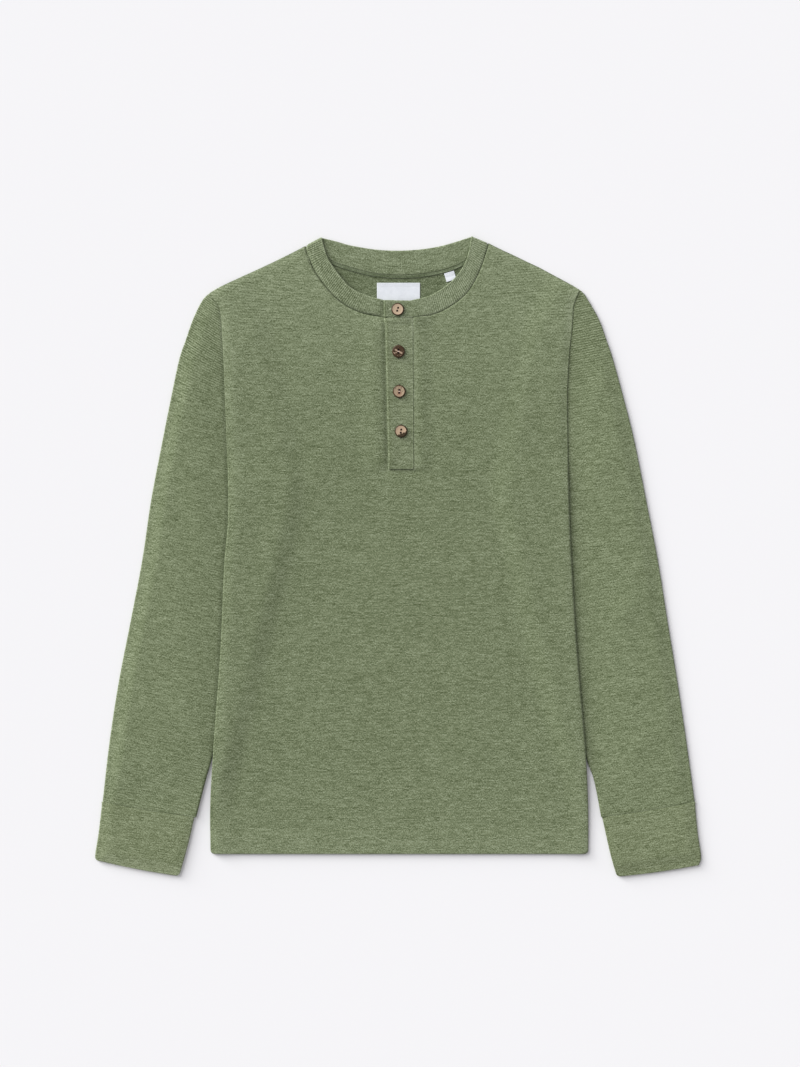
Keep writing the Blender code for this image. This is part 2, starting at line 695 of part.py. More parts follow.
def build_button(name, x, y, level):
    """A turned button with a raised rim, and two holes cut through it."""
    radius = 0.5 * BUTTON_WIDTH
    profile = [
        # radius, height
        (0.55 * radius, 0.0),
        (0.86 * radius, 0.15 * BUTTON_HEIGHT),
        (radius, 0.5 * BUTTON_HEIGHT),
        (0.95 * radius, 0.92 * BUTTON_HEIGHT),
        (0.85 * radius, BUTTON_HEIGHT),
        (0.66 * radius, 0.78 * BUTTON_HEIGHT),
    ]
    steps = 24
    turn = np.arange(steps) * 2 * math.pi / steps
    points = [[x + r * math.cos(a), y + r * math.sin(a), level + h] for r, h in profile for a in turn]
    faces = []
    for i in range(len(profile) - 1):
        for j in range(steps):
            k = (j + 1) % steps
            faces.append([i * steps + j, i * steps + k, (i + 1) * steps + k, (i + 1) * steps + j])
    faces.append(list(range(steps)))
    faces.append([(len(profile) - 1) * steps + j for j in range(steps)])
    button = piece(name, points, faces, BUTTON_HORN)
    for number, shift in enumerate((-0.5, 0.5)):
        bpy.ops.mesh.primitive_cylinder_add(
            vertices=10,
            radius=0.5 * BUTTON_HOLE * MM,
            depth=3 * BUTTON_HEIGHT * MM,
            location=(x * MM, (y + shift * BUTTON_HOLE_PITCH) * MM, level * MM),
        )
        cutter = bpy.context.object
        cutter.name = f"{name}_cutter_{number + 1}"
        cutter.hide_render = True
        cutter.display_type = "WIRE"
        cut = button.modifiers.new(f"hole_{number + 1}", "BOOLEAN")
        cut.operation = "DIFFERENCE"
        cut.solver = "EXACT"
        cut.object = cutter


def build_buttons():
    """Four buttons, the first on the lapped neckband and the others on the placket."""
    for number, (x, y) in enumerate(BUTTONS):
        if number == 0:
            level = 3 * BAND + FOLD_SPACE + GAP
        else:
            reach = np.array([-0.5, 0.0, 0.5]) * BUTTON_WIDTH
            level = front_low(np.full(3, x), y + reach).max() + KNIT + GAP + PLACKET
        build_button(f"button_{number + 1}", x, y, level + GAP)


def build_neck_tape():
    """A narrow tape on the back panel, along the neckband's seam inside."""
    stations = BACK_SEAM[np.abs(BACK_SEAM[:, 0]) < TAPE_REACH]
    down = stations[:, :2] - stations[:, 2:]
    down /= np.hypot(*down.T)[:, None]
    start = stations[:, :2] + 0.5 * GAP * down
    plan = np.stack([start, start + TAPE_WIDTH * down])
    low = np.full(plan.shape[:2], LAYER)
    wall("neck_tape", plan, low, low + TAPE, TAPE_GREEN)


def build_label(name, top, width, height, lean):
    """A flat woven label sewn at its top edge. lean turns it, in degrees, anticlockwise."""
    angle = math.radians(lean)
    right = np.array([math.cos(angle), math.sin(angle)])
    down = np.array([math.sin(angle), -math.cos(angle)])
    rows = np.array([0.0, 0.5, 1.0]) * height
    columns = np.array([-0.5, 0.0, 0.5]) * width
    plan = np.array(top) + rows[:, None, None] * down + columns[None, :, None] * right
    low = np.full(plan.shape[:2], LAYER)
    wall(name, plan, low, low + LABEL, WOVEN_WHITE)


def build():
    """Clears the scene, then makes every piece."""
    for old in list(bpy.data.objects):
        bpy.data.objects.remove(old, do_unlink=True)
    build_body()
    build_sleeve("sleeve_right", -1)
    build_sleeve("sleeve_left", 1)
    build_cuff("cuff_right", CUFF_OUTER_RIGHT, CUFF_INNER_RIGHT)
    build_cuff("cuff_left", CUFF_OUTER_LEFT, CUFF_INNER_LEFT)
    build_neckband()
    build_plackets()
    build_buttons()
    build_neck_tape()
    for name, x, y, width, height, lean in LABELS:
        build_label(name, (x, y), width, height, lean)


build()
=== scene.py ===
# %% [markdown]
# # A henley shirt in heathered knit, laid flat
#
# A henley is a collarless shirt with a round band at the neck and a short row of buttons down the chest. Here
# its plain solids come in as a fixed frame, in metres, with the neck toward +Y and the front toward +Z. This
# lesson puts cloth over it: thin shells with rolled edges and soft creases, a ribbed band, stitches,
# buttonholes and turned buttons, and the yarn itself. The frame's box is measured before anything else is
# made.

# %% The frame and the tools
import math
from functools import partial

import bpy
import numpy as np
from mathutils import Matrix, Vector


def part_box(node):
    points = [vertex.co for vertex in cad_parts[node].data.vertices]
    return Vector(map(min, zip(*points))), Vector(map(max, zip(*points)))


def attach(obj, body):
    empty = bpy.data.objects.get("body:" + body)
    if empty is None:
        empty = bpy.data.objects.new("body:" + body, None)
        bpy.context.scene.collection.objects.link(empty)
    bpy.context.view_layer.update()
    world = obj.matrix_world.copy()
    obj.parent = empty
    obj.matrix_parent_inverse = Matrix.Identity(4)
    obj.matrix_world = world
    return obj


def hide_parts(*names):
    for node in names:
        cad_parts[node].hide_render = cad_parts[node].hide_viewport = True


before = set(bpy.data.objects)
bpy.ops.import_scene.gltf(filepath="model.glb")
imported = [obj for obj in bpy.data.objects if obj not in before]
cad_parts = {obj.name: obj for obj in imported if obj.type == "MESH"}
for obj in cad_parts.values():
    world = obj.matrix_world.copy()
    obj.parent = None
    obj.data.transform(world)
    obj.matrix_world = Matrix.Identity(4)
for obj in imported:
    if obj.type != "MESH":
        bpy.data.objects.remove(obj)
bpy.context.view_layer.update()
MM = 0.001

# %% [markdown]
# ## The maker's measures
#
# A pattern cutter works in millimetres, from a few widths and from lines drawn on paper. So does this script.
# The tables hold the lines of the pattern as they lie on the table. They could be read off the frame's
# meshes, but a frame has straight facets, and a curve through a few measured points is rounder.

# %% Thicknesses, layers and buttons
KNIT = 1.2
SPACE = 0.3
LAYER = KNIT + SPACE
BAND = 1.8
CUFF_WALL = 1.3
RIB_PITCH = 2.8
BAND_RIB_PITCH = 2.4
BUTTONS = []
for name in sorted(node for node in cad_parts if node.startswith("button")):
    low, high = (np.array(corner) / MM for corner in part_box(name))
    BUTTONS.append({"node": name, "x": 0.5 * (low[0] + high[0]), "y": 0.5 * (low[1] + high[1]),
                    "z": low[2], "radius": 0.5 * (high[0] - low[0]), "height": high[2] - low[2]})
print(len(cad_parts), "solids in the frame, of which", len(BUTTONS), "are buttons")

# %% The lines of the pattern
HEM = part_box("front_panel")[0].y / MM
UNDERARM = 78.2
BODY_EDGES = np.array([
    # height, x on the wearer's right, x on the left
    (309.5, -219.8, 210.4), (303.6, -218.6, 207.8), (292.0, -209.8, 203.8), (278.0, -206.6, 202.9),
    (262.0, -205.8, 201.7), (230.0, -204.0, 198.6), (180.0, -202.1, 196.7), (90.0, -198.8, 198.2),
    (40.0, -198.8, 199.6), (-10.0, -203.1, 202.0), (-110.0, -207.6, 208.2), (-220.0, -215.6, 217.6),
    (-290.0, -219.6, 221.2), (HEM, -219.2, 221.4)])
SLEEVE_OUTER = np.array([
    # height, x on the right, x on the left
    (316.3, -206.0, 204.0), (309.0, -218.6, 214.6), (299.0, -228.9, 221.6), (276.6, -239.9, 234.1),
    (253.2, -248.1, 242.6), (229.9, -255.9, 250.4), (183.2, -265.8, 263.2), (136.5, -275.1, 274.9),
    (66.5, -288.5, 288.9), (-3.5, -298.9, 302.5), (-73.5, -312.2, 313.7), (-143.5, -325.9, 325.1),
    (-213.6, -336.8, 335.6), (-285.8, -345.2, 345.6)])
SLEEVE_INNER = np.array([
    # the armhole seam down to the underarm, and then the sleeve's inner fold: height, x right, x left
    (316.3, -206.0, 204.0), (270.0, -186.5, 185.5), (210.0, -170.5, 170.0), (140.0, -155.5, 155.5),
    (UNDERARM, -145.3, 145.3), (0.0, -161.0, 161.0), (-120.0, -190.0, 190.0), (-227.6, -215.8, 217.0),
    (-260.2, -224.7, 227.9), (-303.6, -235.9, 236.4)])
SHOULDERS = np.array([
    # distance from the centre, height on the right, height on the left
    (80.0, 373.2, 374.0), (107.0, 359.2, 361.0), (135.0, 347.6, 349.9), (165.0, 334.2, 336.3),
    (190.0, 322.8, 322.7), (209.0, 313.9, 312.4), (222.0, 306.6, 303.0)])
CUFF_CORNER = 5.5
# each cuff's two folds from the seam to the hand, x and y, on the right (-1) and on the left (1)
CUFF_OUTER = {-1: [(-346.5, -285.5), (-346.3, -291.5), (-350.0, -323.3), (-353.9, -348.3), (-352.0, -353.7)],
              1: [(346.6, -285.5), (346.2, -291.5), (349.3, -323.3), (353.0, -349.5), (350.4, -359.4)]}
CUFF_INNER = {-1: [(-238.0, -303.3), (-239.2, -308.4), (-243.4, -327.0), (-249.0, -348.0), (-254.6, -372.4)],
              1: [(237.4, -303.3), (238.7, -308.8), (243.1, -329.0), (247.9, -349.0), (253.4, -373.0)]}
FRONT_NECK = np.array([
    # the band's seam x, y, and its folded edge x, y, from the right shoulder round the front
    (-109.1, 361.8, -89.2, 372.2), (-105.3, 348.0, -85.2, 357.0), (-92.8, 324.8, -78.6, 342.5),
    (-70.6, 299.5, -57.5, 316.0), (-45.5, 285.2, -37.0, 305.2), (-16.9, 279.2, -16.9, 299.6),
    (16.5, 279.2, 14.0, 299.0), (40.2, 282.7, 35.5, 304.6), (60.9, 292.3, 53.0, 314.6),
    (81.0, 309.3, 68.5, 329.0), (95.0, 334.3, 79.5, 347.8), (105.4, 365.0, 84.8, 373.4)])
BACK_NECK = np.array([
    (105.4, 365.0, 84.8, 373.4), (78.0, 345.4, 63.6, 366.6), (57.8, 336.4, 47.0, 362.2),
    (30.0, 330.4, 25.0, 358.8), (0.0, 328.6, 0.0, 357.4), (-30.0, 331.2, -26.0, 358.6),
    (-60.0, 338.8, -55.4, 363.4), (-80.0, 346.4, -72.0, 368.0), (-109.1, 361.8, -89.2, 372.2)])
# x of the placket's free and sewn edges, at the neck and at its foot
PLACKET_TOP = np.array([-16.9, 16.5])
PLACKET_FOOT = np.array([-13.1, 17.3])
PLACKET_BOTTOM = 102.3
PLACKET_LAP = 2.3
NECK_FRONT = FRONT_NECK[5, 1]
print("from neck point to hem:", round(FRONT_NECK[-1, 3] - HEM), "mm")

# %% [markdown]
# ## Ramps and curves
#
# Everything that follows is built on a few small tools. `ramp` eases from one level to another, as cloth does
# when it climbs over something. `curve_at` draws a round line through measured points. `along` walks along a
# line by its own length, and `distance_to` says how far any point of the cloth is from a line, which is what
# an edge roll or a seam needs to know. Where the two sides of a shirt differ, `sided` picks the number.

# %% Ramps and curves
def ramp(value, zero, one):
    """0 at one place, 1 at the other and level beyond: three shares squared less two shares cubed."""
    share = np.clip((value - zero) / (one - zero), 0.0, 1.0)
    return share * share * (3.0 - 2.0 * share)


def sided(x, right, left):
    """One value on the wearer's right, where x is below 0, and another on the left."""
    return np.where(x < 0, right, left)


def walked(line):
    """The length of a line up to each of its points: the sum of the steps before it."""
    return np.concatenate([[0.0], np.cumsum(np.hypot.reduce(np.diff(line, axis=0), axis=1))])


def along(line, shares):
    """Points at shares of a line's length. Only the first two columns count as length."""
    length = walked(line[:, :2])
    return np.column_stack([np.interp(np.asarray(shares) * length[-1], length, column) for column in line.T])


def curve_at(points, shares):
    """Points at shares of a round curve's length: between two points it is the cubic whose slope at each is
    half the step from the point before to the point after."""
    points = np.asarray(points, float)
    before = np.vstack([2 * points[0] - points[1], points[:-2]])
    after = np.vstack([points[2:], 2 * points[-1] - points[-2]])
    start, end = points[:-1], points[1:]
    fine = np.linspace(0.0, 1.0, 24, endpoint=False)[:, None, None]
    line = 0.5 * (2 * start + (end - before) * fine + (2 * before - 5 * start + 4 * end - after) * fine**2
                  + (3 * start - before - 3 * end + after) * fine**3)
    return along(np.vstack([line.transpose(1, 0, 2).reshape(-1, points.shape[1]), points[-1:]]), shares)


def edge_at(table, heights, side):
    """Where a pattern line crosses each height: side is -1 for the wearer's right and 1 for the left."""
    line = curve_at(table[::-1, [0, 1 if side < 0 else 2]], np.linspace(0.0, 1.0, 300))
    return np.interp(heights, line[:, 0], line[:, 1])


def inside(table, x, y):
    """How far a point lies from a pattern line toward the centre line, measured across the body."""
    return sided(x, -edge_at(table, y, -1), edge_at(table, y, 1)) - np.abs(x)


def distance_to(plan, line):
    """The shortest way from each plan point to a line of straight steps: the point less its nearest place on
    each step, and the least of those."""
    start, step = line[:-1], np.diff(line, axis=0)
    flat = plan.reshape(-1, 2)
    nearest = np.empty(len(flat))
    for part in np.array_split(np.arange(len(flat)), max(1, len(flat) * len(step) // 2000000)):
        gap = flat[part, None] - start
        share = np.clip((gap * step).sum(-1) / np.maximum((step**2).sum(-1), 1e-9), 0.0, 1.0)
        nearest[part] = np.hypot(*np.moveaxis(gap - share[..., None] * step, -1, 0)).min(-1)
    return nearest.reshape(plan.shape[:-1])


def rolled(distance, radius, least=0.0):
    """Share of the full height at a distance in from a half-round edge, root of 1 - (1 - d/r) squared, or the
    least share where cloth stays thicker at its edge."""
    share = np.clip(1.0 - distance / radius, 0.0, 1.0)
    return np.maximum(np.sqrt(1.0 - share * share), least)


def creased(x, y, creases):
    """The height that a list of creases adds: each is a bell across its line, eased in over its ends."""
    height = np.zeros_like(x)
    for x1, y1, x2, y2, width, most in creases:
        length = math.hypot(x2 - x1, y2 - y1)
        run = ((x - x1) * (x2 - x1) + (y - y1) * (y2 - y1)) / length
        off = ((x - x1) * (y2 - y1) - (y - y1) * (x2 - x1)) / length
        ends = ramp(run, 0.0, 0.4 * length) * ramp(run, length, 0.6 * length)
        height += most * np.exp(-((off / width) ** 2)) * ends
    return height


print("body width at the chest:", round(float(np.ptp([edge_at(BODY_EDGES, 150.0, s) for s in (-1, 1)])), 1))

# %% [markdown]
# ## Painted light and shade
#
# The knit's colour carries painted light and shade. It is painted paler across the shoulders, along the hem,
# near the side folds and beside some seams, and painted darker where a fold or a seam keeps the light out.
# Each row of a table is one such effect: how much it adds, and then the measures that limit it, each with the
# place where it is 0 and the place where it is full. The measures are plain distances, so that an effect
# stays where it belongs on the cloth.

# %% The tables of painted light and shade
# y is the height, edge the way in from the body's edge and off_rim the way from the seam's painted pale rim;
# on a sleeve, fold and inner are the ways in from its two folds, foot is the way up from the hand, and below
# and cuff are 1 on the lower sleeve and on the cuff
EVERYWHERE, RIGHT, LEFT = 0, -1, 1
# on the body: painted paler toward the shoulders, along the hem and near the side folds; painted shade beside
# the right side fold; a painted pale rim beside the armhole seams; and a painted dark line in the armhole
# seam near the shoulder tip
PAINTED_LIGHT_ON_BODY = [
    # side, amount, and for each measure where the effect is 0 and where it is full
    (EVERYWHERE, 0.95, {"y": (110, 345)}), (EVERYWHERE, 0.2, {"y": (-250, -300)}),
    (EVERYWHERE, 0.5, {"y": (-305, -335)}), (EVERYWHERE, 0.4, {"edge": (26, 0)}),
    (RIGHT, -0.5, {"edge": (8, 0), "y": (190, 170)}), (RIGHT, -0.9, {"edge": (8, 0), "y": (-260, -285)}),
    (RIGHT, 0.7, {"off_rim": (2.4, 0), "y": (200, 240)}), (RIGHT, -3.4, {"edge": (1.7, 0), "y": (286, 292)}),
    (RIGHT, -0.7, {"off_rim": (2.4, 0), "edge": (1.7, 0), "y": (286, 292)}),
    (LEFT, 1.5, {"off_rim": (6, 0), "y": (236, 276)})]
# on a sleeve: painted paler all over and near the outer fold, less so high up; painted shade along the inner
# fold of the lower sleeve; painted light on the right cuff's inner fold and near its hand; painted shade on
# the left cuff's inner fold; and painted light and shade beside the armhole seam
PAINTED_LIGHT_ON_SLEEVE = [
    (EVERYWHERE, 0.15, {}), (EVERYWHERE, 0.3, {"fold": (20, 0)}),
    (EVERYWHERE, -0.21, {"fold": (20, 0), "y": (150, 240)}),
    (RIGHT, -1.6, {"inner": (3.5, 0), "below": (0, 1)}), (LEFT, -2.0, {"inner": (2.4, 0), "below": (0, 1)}),
    (RIGHT, 1.4, {"inner": (8, 0), "cuff": (0, 1)}), (LEFT, -1.8, {"inner": (6, 0), "cuff": (0, 1)}),
    (RIGHT, 1.3, {"foot": (16, 6)}), (RIGHT, 1.5, {"edge": (-5, 0), "y": (215, 245)}),
    (RIGHT, 1.3, {"edge": (-1.6, 0), "y": (252, 264)}), (RIGHT, -2.4, {"edge": (-1.6, 0), "y": (284, 290)}),
    (LEFT, -1.2, {"edge": (-1.6, 0), "y": (222, 234)}), (LEFT, 2.1, {"edge": (-1.6, 0), "y": (272, 286)}),
    (LEFT, 1.3, {"edge": (-1.6, 0), "y": (290, 298)})]
LOWER_SLEEVE = -150.0
CUFF_SEAM = -303.0
CUFF_LEAN = 0.243
CUFF_FOOT = (411.3, 0.155)


def painted_sum(rows, x, **measures):
    """The sum of a table's rows, each its amount times a ramp for every measure that it names."""
    total = 0.0
    for side, amount, limits in rows:
        for measure, (zero, full) in limits.items():
            amount = amount * ramp(measures[measure], zero, full)
        total = total + amount * ((x * side > 0) | (side == EVERYWHERE))
    return total


def faded(x, y):
    """Painted light and shade, 0 to about 1 where the knit is painted paler and below 0 where it is painted
    darker: one table on the body, one beyond it.
    """
    edge, cuff = inside(BODY_EDGES, x, y), y < CUFF_SEAM
    body = painted_sum(PAINTED_LIGHT_ON_BODY, x, y=y, edge=edge, off_rim=np.abs(edge - sided(x, 1.2, 3.0)))
    leans = CUFF_LEAN * np.maximum(CUFF_SEAM - 1.0 - y, 0.0)
    sleeve = painted_sum(PAINTED_LIGHT_ON_SLEEVE, x, y=y, edge=edge, cuff=cuff, below=(y < LOWER_SLEEVE) & ~cuff,
                  fold=inside(SLEEVE_OUTER, x, y), inner=-inside(SLEEVE_INNER, x, y) - leans,
                  foot=y + CUFF_FOOT[0] - CUFF_FOOT[1] * np.abs(x))
    return np.where(edge > 0, body, sleeve)


# prints the painted light and shade at the hem, waist and chest
print("wear at the hem, waist and chest:", np.round(faded(np.zeros(3), np.array([-340.0, 0.0, 250.0])), 2))

# %% [markdown]
# ## Layers on the table
#
# A shirt that lies flat is a stack: the back on the table, the sleeves beside it and partly under its sides,
# and the front on top. Where the front passes over a sleeve it climbs, and at the neckline it climbs onto the
# band. These levels are written here once, and every piece of cloth reads its height from them. That keeps a
# third of a millimetre of air between layers that touch.

# %% The neckline and the placket's edges
def placket_edge(y, edge):
    """x of the placket's free edge (0) or sewn edge (1): a straight line that leans a little."""
    share = (y - PLACKET_BOTTOM) / (NECK_FRONT - PLACKET_BOTTOM)
    return PLACKET_FOOT[edge] + share * (PLACKET_TOP[edge] - PLACKET_FOOT[edge])


def beside_placket(x, y):
    """How far outside the placket's outline: from its free edge, its sewn edge and its foot."""
    return placket_edge(y, 0) - x, x - placket_edge(y, 1), PLACKET_BOTTOM - y


SHARES = np.linspace(0.0, 1.0, 70)
FRONT_RIGHT = curve_at(FRONT_NECK[:6], SHARES)
FRONT_LEFT = curve_at(FRONT_NECK[6:], SHARES)
BACK_LINE = curve_at(BACK_NECK, np.linspace(0.0, 1.0, 160))
NECK_LINE = np.vstack([FRONT_RIGHT, FRONT_LEFT])[:, :2]
for name, line in (("front", NECK_LINE), ("back", BACK_LINE)):
    print("neckline of the", name, round(float(walked(line[:, :2])[-1])), "mm")


# %% Levels of front and back
# how far the front is pushed up round the neck and along its sides, and the seam at its neck and its tip
NECK_RISE = 1.1
SIDE_SWELL = 0.9
SEAM_RISE = (0.75, 1.5)


def shoulder_at(x):
    """The height of the shoulder seam at each x."""
    away, right, left = SHOULDERS.T
    return sided(x, np.interp(-x, away, right), np.interp(x, away, left))


def beside_sewn_edge(x, y):
    """How far the front stands up beside the placket's sewn edge: 0 under the placket, 1 just outside the
    edge, and 0 again 26 mm out and below the foot."""
    sewn, foot = beside_placket(x, y)[1:]
    return ramp(sewn, -2.0, 0.6) * ramp(sewn, 25.6, 1.6) * ramp(foot, 2.0, -3.0)


def sleeve_climb(x, y):
    """1 where the cloth lies on the sleeve, 0 on the table, with a ramp 30 mm wide between them."""
    return ramp(inside(SLEEVE_INNER, x, y), 42.0, 12.0) * ramp(y, -335.0, -230.0)


def below_underarm(y):
    """1 below the underarm, where the back lies over the sleeve too."""
    return ramp(y, UNDERARM + 45.0, UNDERARM)


def side_swell(x, y):
    """The soft roll just inside the side edge: up over 9 mm and down again over 30."""
    inward = inside(BODY_EDGES, x, y)
    return SIDE_SWELL * ramp(inward, 0.0, 9.0) * ramp(inward, 39.0, 9.0)


def shoulder_level(x):
    """The height at which front and back meet along the shoulder seam."""
    reach, (at_neck, at_tip) = np.abs(x), SEAM_RISE
    return LAYER - 0.5 * SPACE + at_neck * ramp(reach, 150.0, 110.0) + at_tip * ramp(reach, 165.0, 203.0)


def near_shoulder(x, y):
    """1 on the shoulder seam, easing to 0 over 14 mm, and 0 beside the neckline."""
    return ramp(shoulder_at(x) - y, 14.0, 0.0) * ramp(np.abs(x), 96.0, 106.0)


def front_low(x, y):
    """The underside of the front: the table level, the climb, the neck's rise, the swell and the seam."""
    low = LAYER + sleeve_climb(x, y) * LAYER * (1.0 + below_underarm(y)) + side_swell(x, y)
    low = low + NECK_RISE * ramp(distance_to(np.stack([x, y], -1), NECK_LINE), 45.0, 0.0)
    return low + near_shoulder(x, y) * (shoulder_level(x) + 0.5 * SPACE - low)


def back_low(x, y):
    """The underside of the back: flat on the table, and over the sleeves below the underarm."""
    low = 2 * LAYER * sleeve_climb(x, y) * below_underarm(y)
    return low + near_shoulder(x, y) * (shoulder_level(x) - 0.5 * SPACE - KNIT - low)


print("front over the sleeve:", round(float(front_low(np.array([-190.0]), np.array([0.0]))[0]), 2), "mm up")

# %% [markdown]
# ## From a grid of points to a mesh
#
# Two shapes cover nearly everything in a shirt. A panel is a grid with an upper and a lower face and a rim. A
# tube, such as a sleeve or a cuff, is a grid that closes on itself. Each point also carries its place on the
# cloth, in metres along the knitted course and across it, because yarn follows the cloth and not the table.
# Two more numbers say how far the ribs of the knit are pulled open there, and how much light and shade is
# painted there.

# %% Grids to meshes
def quads_of(rows, columns, close_rows=False, close_columns=False):
    """The four corners of each cell of a grid, with a last cell back to the start where it closes."""
    number = np.arange(rows * columns).reshape(rows, columns)
    if close_rows:
        number = np.vstack([number, number[:1]])
    if close_columns:
        number = np.hstack([number, number[:, :1]])
    return np.stack([number[:-1, :-1], number[:-1, 1:], number[1:, 1:], number[1:, :-1]], -1).reshape(-1, 4)


def add_object(name, points, faces, finish=None):
    """An object in the scene, from points in mm and lists of corners."""
    mesh = bpy.data.meshes.new(name)
    mesh.from_pydata(points.reshape(-1, 3) * MM, [], faces)
    mesh.materials.append(finish)
    made = bpy.data.objects.new(name, mesh)
    bpy.context.scene.collection.objects.link(made)
    return made


def piece(name, points, faces, finish, cloth=None, rib=None, light_paint=None):
    """A piece of cloth or thread, turned outwards by the sign of its volume. Its yarn takes three things from
    the points: their place on the cloth in mm, how open the ribs are, and the light and shade painted there."""
    points = points.reshape(-1, 3)
    a, b, c, d = (points[faces[:, corner]] for corner in range(4))
    volume = (a * (np.cross(b, c) + np.cross(c, d))).sum() / 6.0
    faces = faces if volume > 0 else faces[:, ::-1]
    made = add_object(name, points, faces.tolist(), finish)
    if cloth is not None:
        layer = made.data.uv_layers.new(name="cloth")
        corners = cloth.reshape(-1, 2)[faces.reshape(-1)]
        layer.data.foreach_set("uv", (corners * MM).astype(np.float32).ravel())
    # the painted light and shade goes in as a point attribute beside the ribs' openness
    for attribute, values in (("rib", rib), ("faded", light_paint)):
        if values is not None:
            values = np.broadcast_to(values, len(points)) if np.isscalar(values) else values.reshape(-1)
            kept_on = made.data.attributes.new(attribute, "FLOAT", "POINT")
            kept_on.data.foreach_set("value", values.astype(np.float32))
    made.data.shade_smooth()
    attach(made, "root")
    print(f"{name}: {2 * len(faces)} triangles, {abs(volume) / 1000:.1f} ml of cloth")
    return made


def panel(name, plan, low, high, finish, cloth=None, rib=None, kept=None, light_paint=None):
    """A closed sheet: upper and lower faces of a grid of plan points, and a rim round the kept cells."""
    rows, columns = low.shape
    kept = np.ones((rows - 1, columns - 1), bool) if kept is None else kept
    count = rows * columns
    cells = quads_of(rows, columns).reshape(rows - 1, columns - 1, 4)
    faces = [cells[kept] + count, cells[kept][:, ::-1]]
    walled = np.pad(kept, 1)
    beside = [walled[:-2, 1:-1], walled[1:-1, 2:], walled[2:, 1:-1], walled[1:-1, :-2]]
    for edge, neighbour in enumerate(beside):
        ring = cells[kept & ~neighbour]
        start, end = ring[:, edge], ring[:, (edge + 1) % 4]
        faces.append(np.stack([start, end, end + count, start + count], -1))
    points = np.vstack([np.dstack([plan, level]).reshape(-1, 3) for level in (low, high)])
    used, faces = np.unique(np.vstack(faces), return_inverse=True)
    both = [values if values is None or np.isscalar(values) else
            np.concatenate([values.reshape(count, -1)] * 2)[used] for values in (cloth, rib, light_paint)]
    return piece(name, points[used], faces.reshape(-1, 4), finish, *both)


def patch(start_row, end_row, start_side, end_side, rows, columns):
    """Plan points between four lines: what the end rows say, plus what the sides say, less the corners."""
    row, column = np.asarray(rows)[:, None, None], np.asarray(columns)[None, :, None]
    ends = (1 - row) * start_row[None] + row * end_row[None]
    sides = (1 - column) * start_side[:, None] + column * end_side[:, None]
    corners = (1 - row) * ((1 - column) * start_row[0] + column * start_row[-1])
    return ends + sides - corners - row * ((1 - column) * end_row[0] + column * end_row[-1])


def steps_between(start, end, step, fine=(0.25, 0.7, 1.4, 2.4, 4.0, 6.5)):
    """Places along a line, in mm: close together at both ends, where edges are rolled, even between."""
    near = np.array([0.0, *fine])
    count = max(2, int(round((end - start - 2 * near[-1]) / step)) + 1)
    return np.concatenate([start + near[:-1], np.linspace(start + near[-1], end - near[-1], count),
                           end - near[-2::-1]])

# %% [markdown]
# ## The yarn
#
# The cloth is a heathered knit: every course is knitted from yarn in which lighter and darker green fibres
# are blended unevenly, so that each row shows short streaks that have nothing to do with the rows above and
# below it. A pattern worked out from the course number stays sharp at any size and needs no file. The group
# below counts the courses, gives every one its own noise stretched along the row, and adds a slower noise for
# cloudy patches. Loops and ribs go into the height, and they also shade the grooves a little, because light
# doesn't reach into them.

# %% Small helpers for shader nodes
DIMMED = 0.80
TURN = 2 * math.pi


def node(tree, kind, inputs=(), **settings):
    """A new node: settings are its own properties, and inputs are plain values or signals to link."""
    made = tree.nodes.new(kind)
    for name, value in settings.items():
        setattr(made, name, value)
    for socket, value in dict(inputs).items():
        if isinstance(value, Signal):
            tree.links.new(value.socket, made.inputs[socket])
        else:
            made.inputs[socket].default_value = value
    return made


class Signal:
    """What a shader works out at each point. Arithmetic on a signal adds math nodes to its tree."""

    def __init__(self, socket):
        self.socket = socket

    def into(self, kind, inputs, **settings):
        return Signal(node(self.socket.id_data, kind, inputs, **settings).outputs[0])

    def math(self, operation, *others, **settings):
        return self.into("ShaderNodeMath", dict(enumerate((self, *others))), operation=operation, **settings)

    def __add__(self, other):
        return self.math("ADD", other)

    def __sub__(self, other):
        return self.math("SUBTRACT", other)

    def __mul__(self, other):
        return self.math("MULTIPLY", other)

    def __truediv__(self, other):
        return self.math("DIVIDE", other)

    def remap(self, low, high):
        """0 at the low value, 1 at the high one, straight between them."""
        return self.into("ShaderNodeMapRange", {0: self, 1: low, 2: high, 3: 0.0, 4: 1.0})

    def blend(self, first, second):
        """The first colour where this is 0, the second where it is 1."""
        return Signal(node(self.socket.id_data, "ShaderNodeMix", {0: self, 6: first, 7: second},
                           data_type="RGBA").outputs[2])

    def parts(self):
        """The x and y of a place."""
        return [Signal(socket) for socket in node(self.socket.id_data, "ShaderNodeSeparateXYZ",
                                                  {0: self}).outputs[:2]]

    def noise(self, scale, detail=0.0, roughness=0.5):
        return self.into("ShaderNodeTexNoise", {"Vector": self, "Scale": scale, "Detail": detail,
                                                "Roughness": roughness})


def place(x, y, z=0.0):
    """A place for a noise to look up, from two signals and a number that sets this noise apart."""
    return x.into("ShaderNodeCombineXYZ", {0: x, 1: y, 2: z})


def node_group(name, **sockets):
    """A group with inputs of the named kinds and the outputs Color and Height: its tree and its inputs."""
    tree = bpy.data.node_groups.new(name, "ShaderNodeTree")
    for kind, names in sockets.items():
        for socket in names:
            tree.interface.new_socket(socket, in_out="INPUT", socket_type="NodeSocket" + kind)
    for socket, kind in (("Color", "Color"), ("Height", "Float")):
        tree.interface.new_socket(socket, in_out="OUTPUT", socket_type="NodeSocket" + kind)
    return tree, {socket.name: Signal(socket) for socket in tree.nodes.new("NodeGroupInput").outputs}


def shader_of(finish):
    """The inputs of a material's Principled shader."""
    return finish.node_tree.nodes["Principled BSDF"].inputs


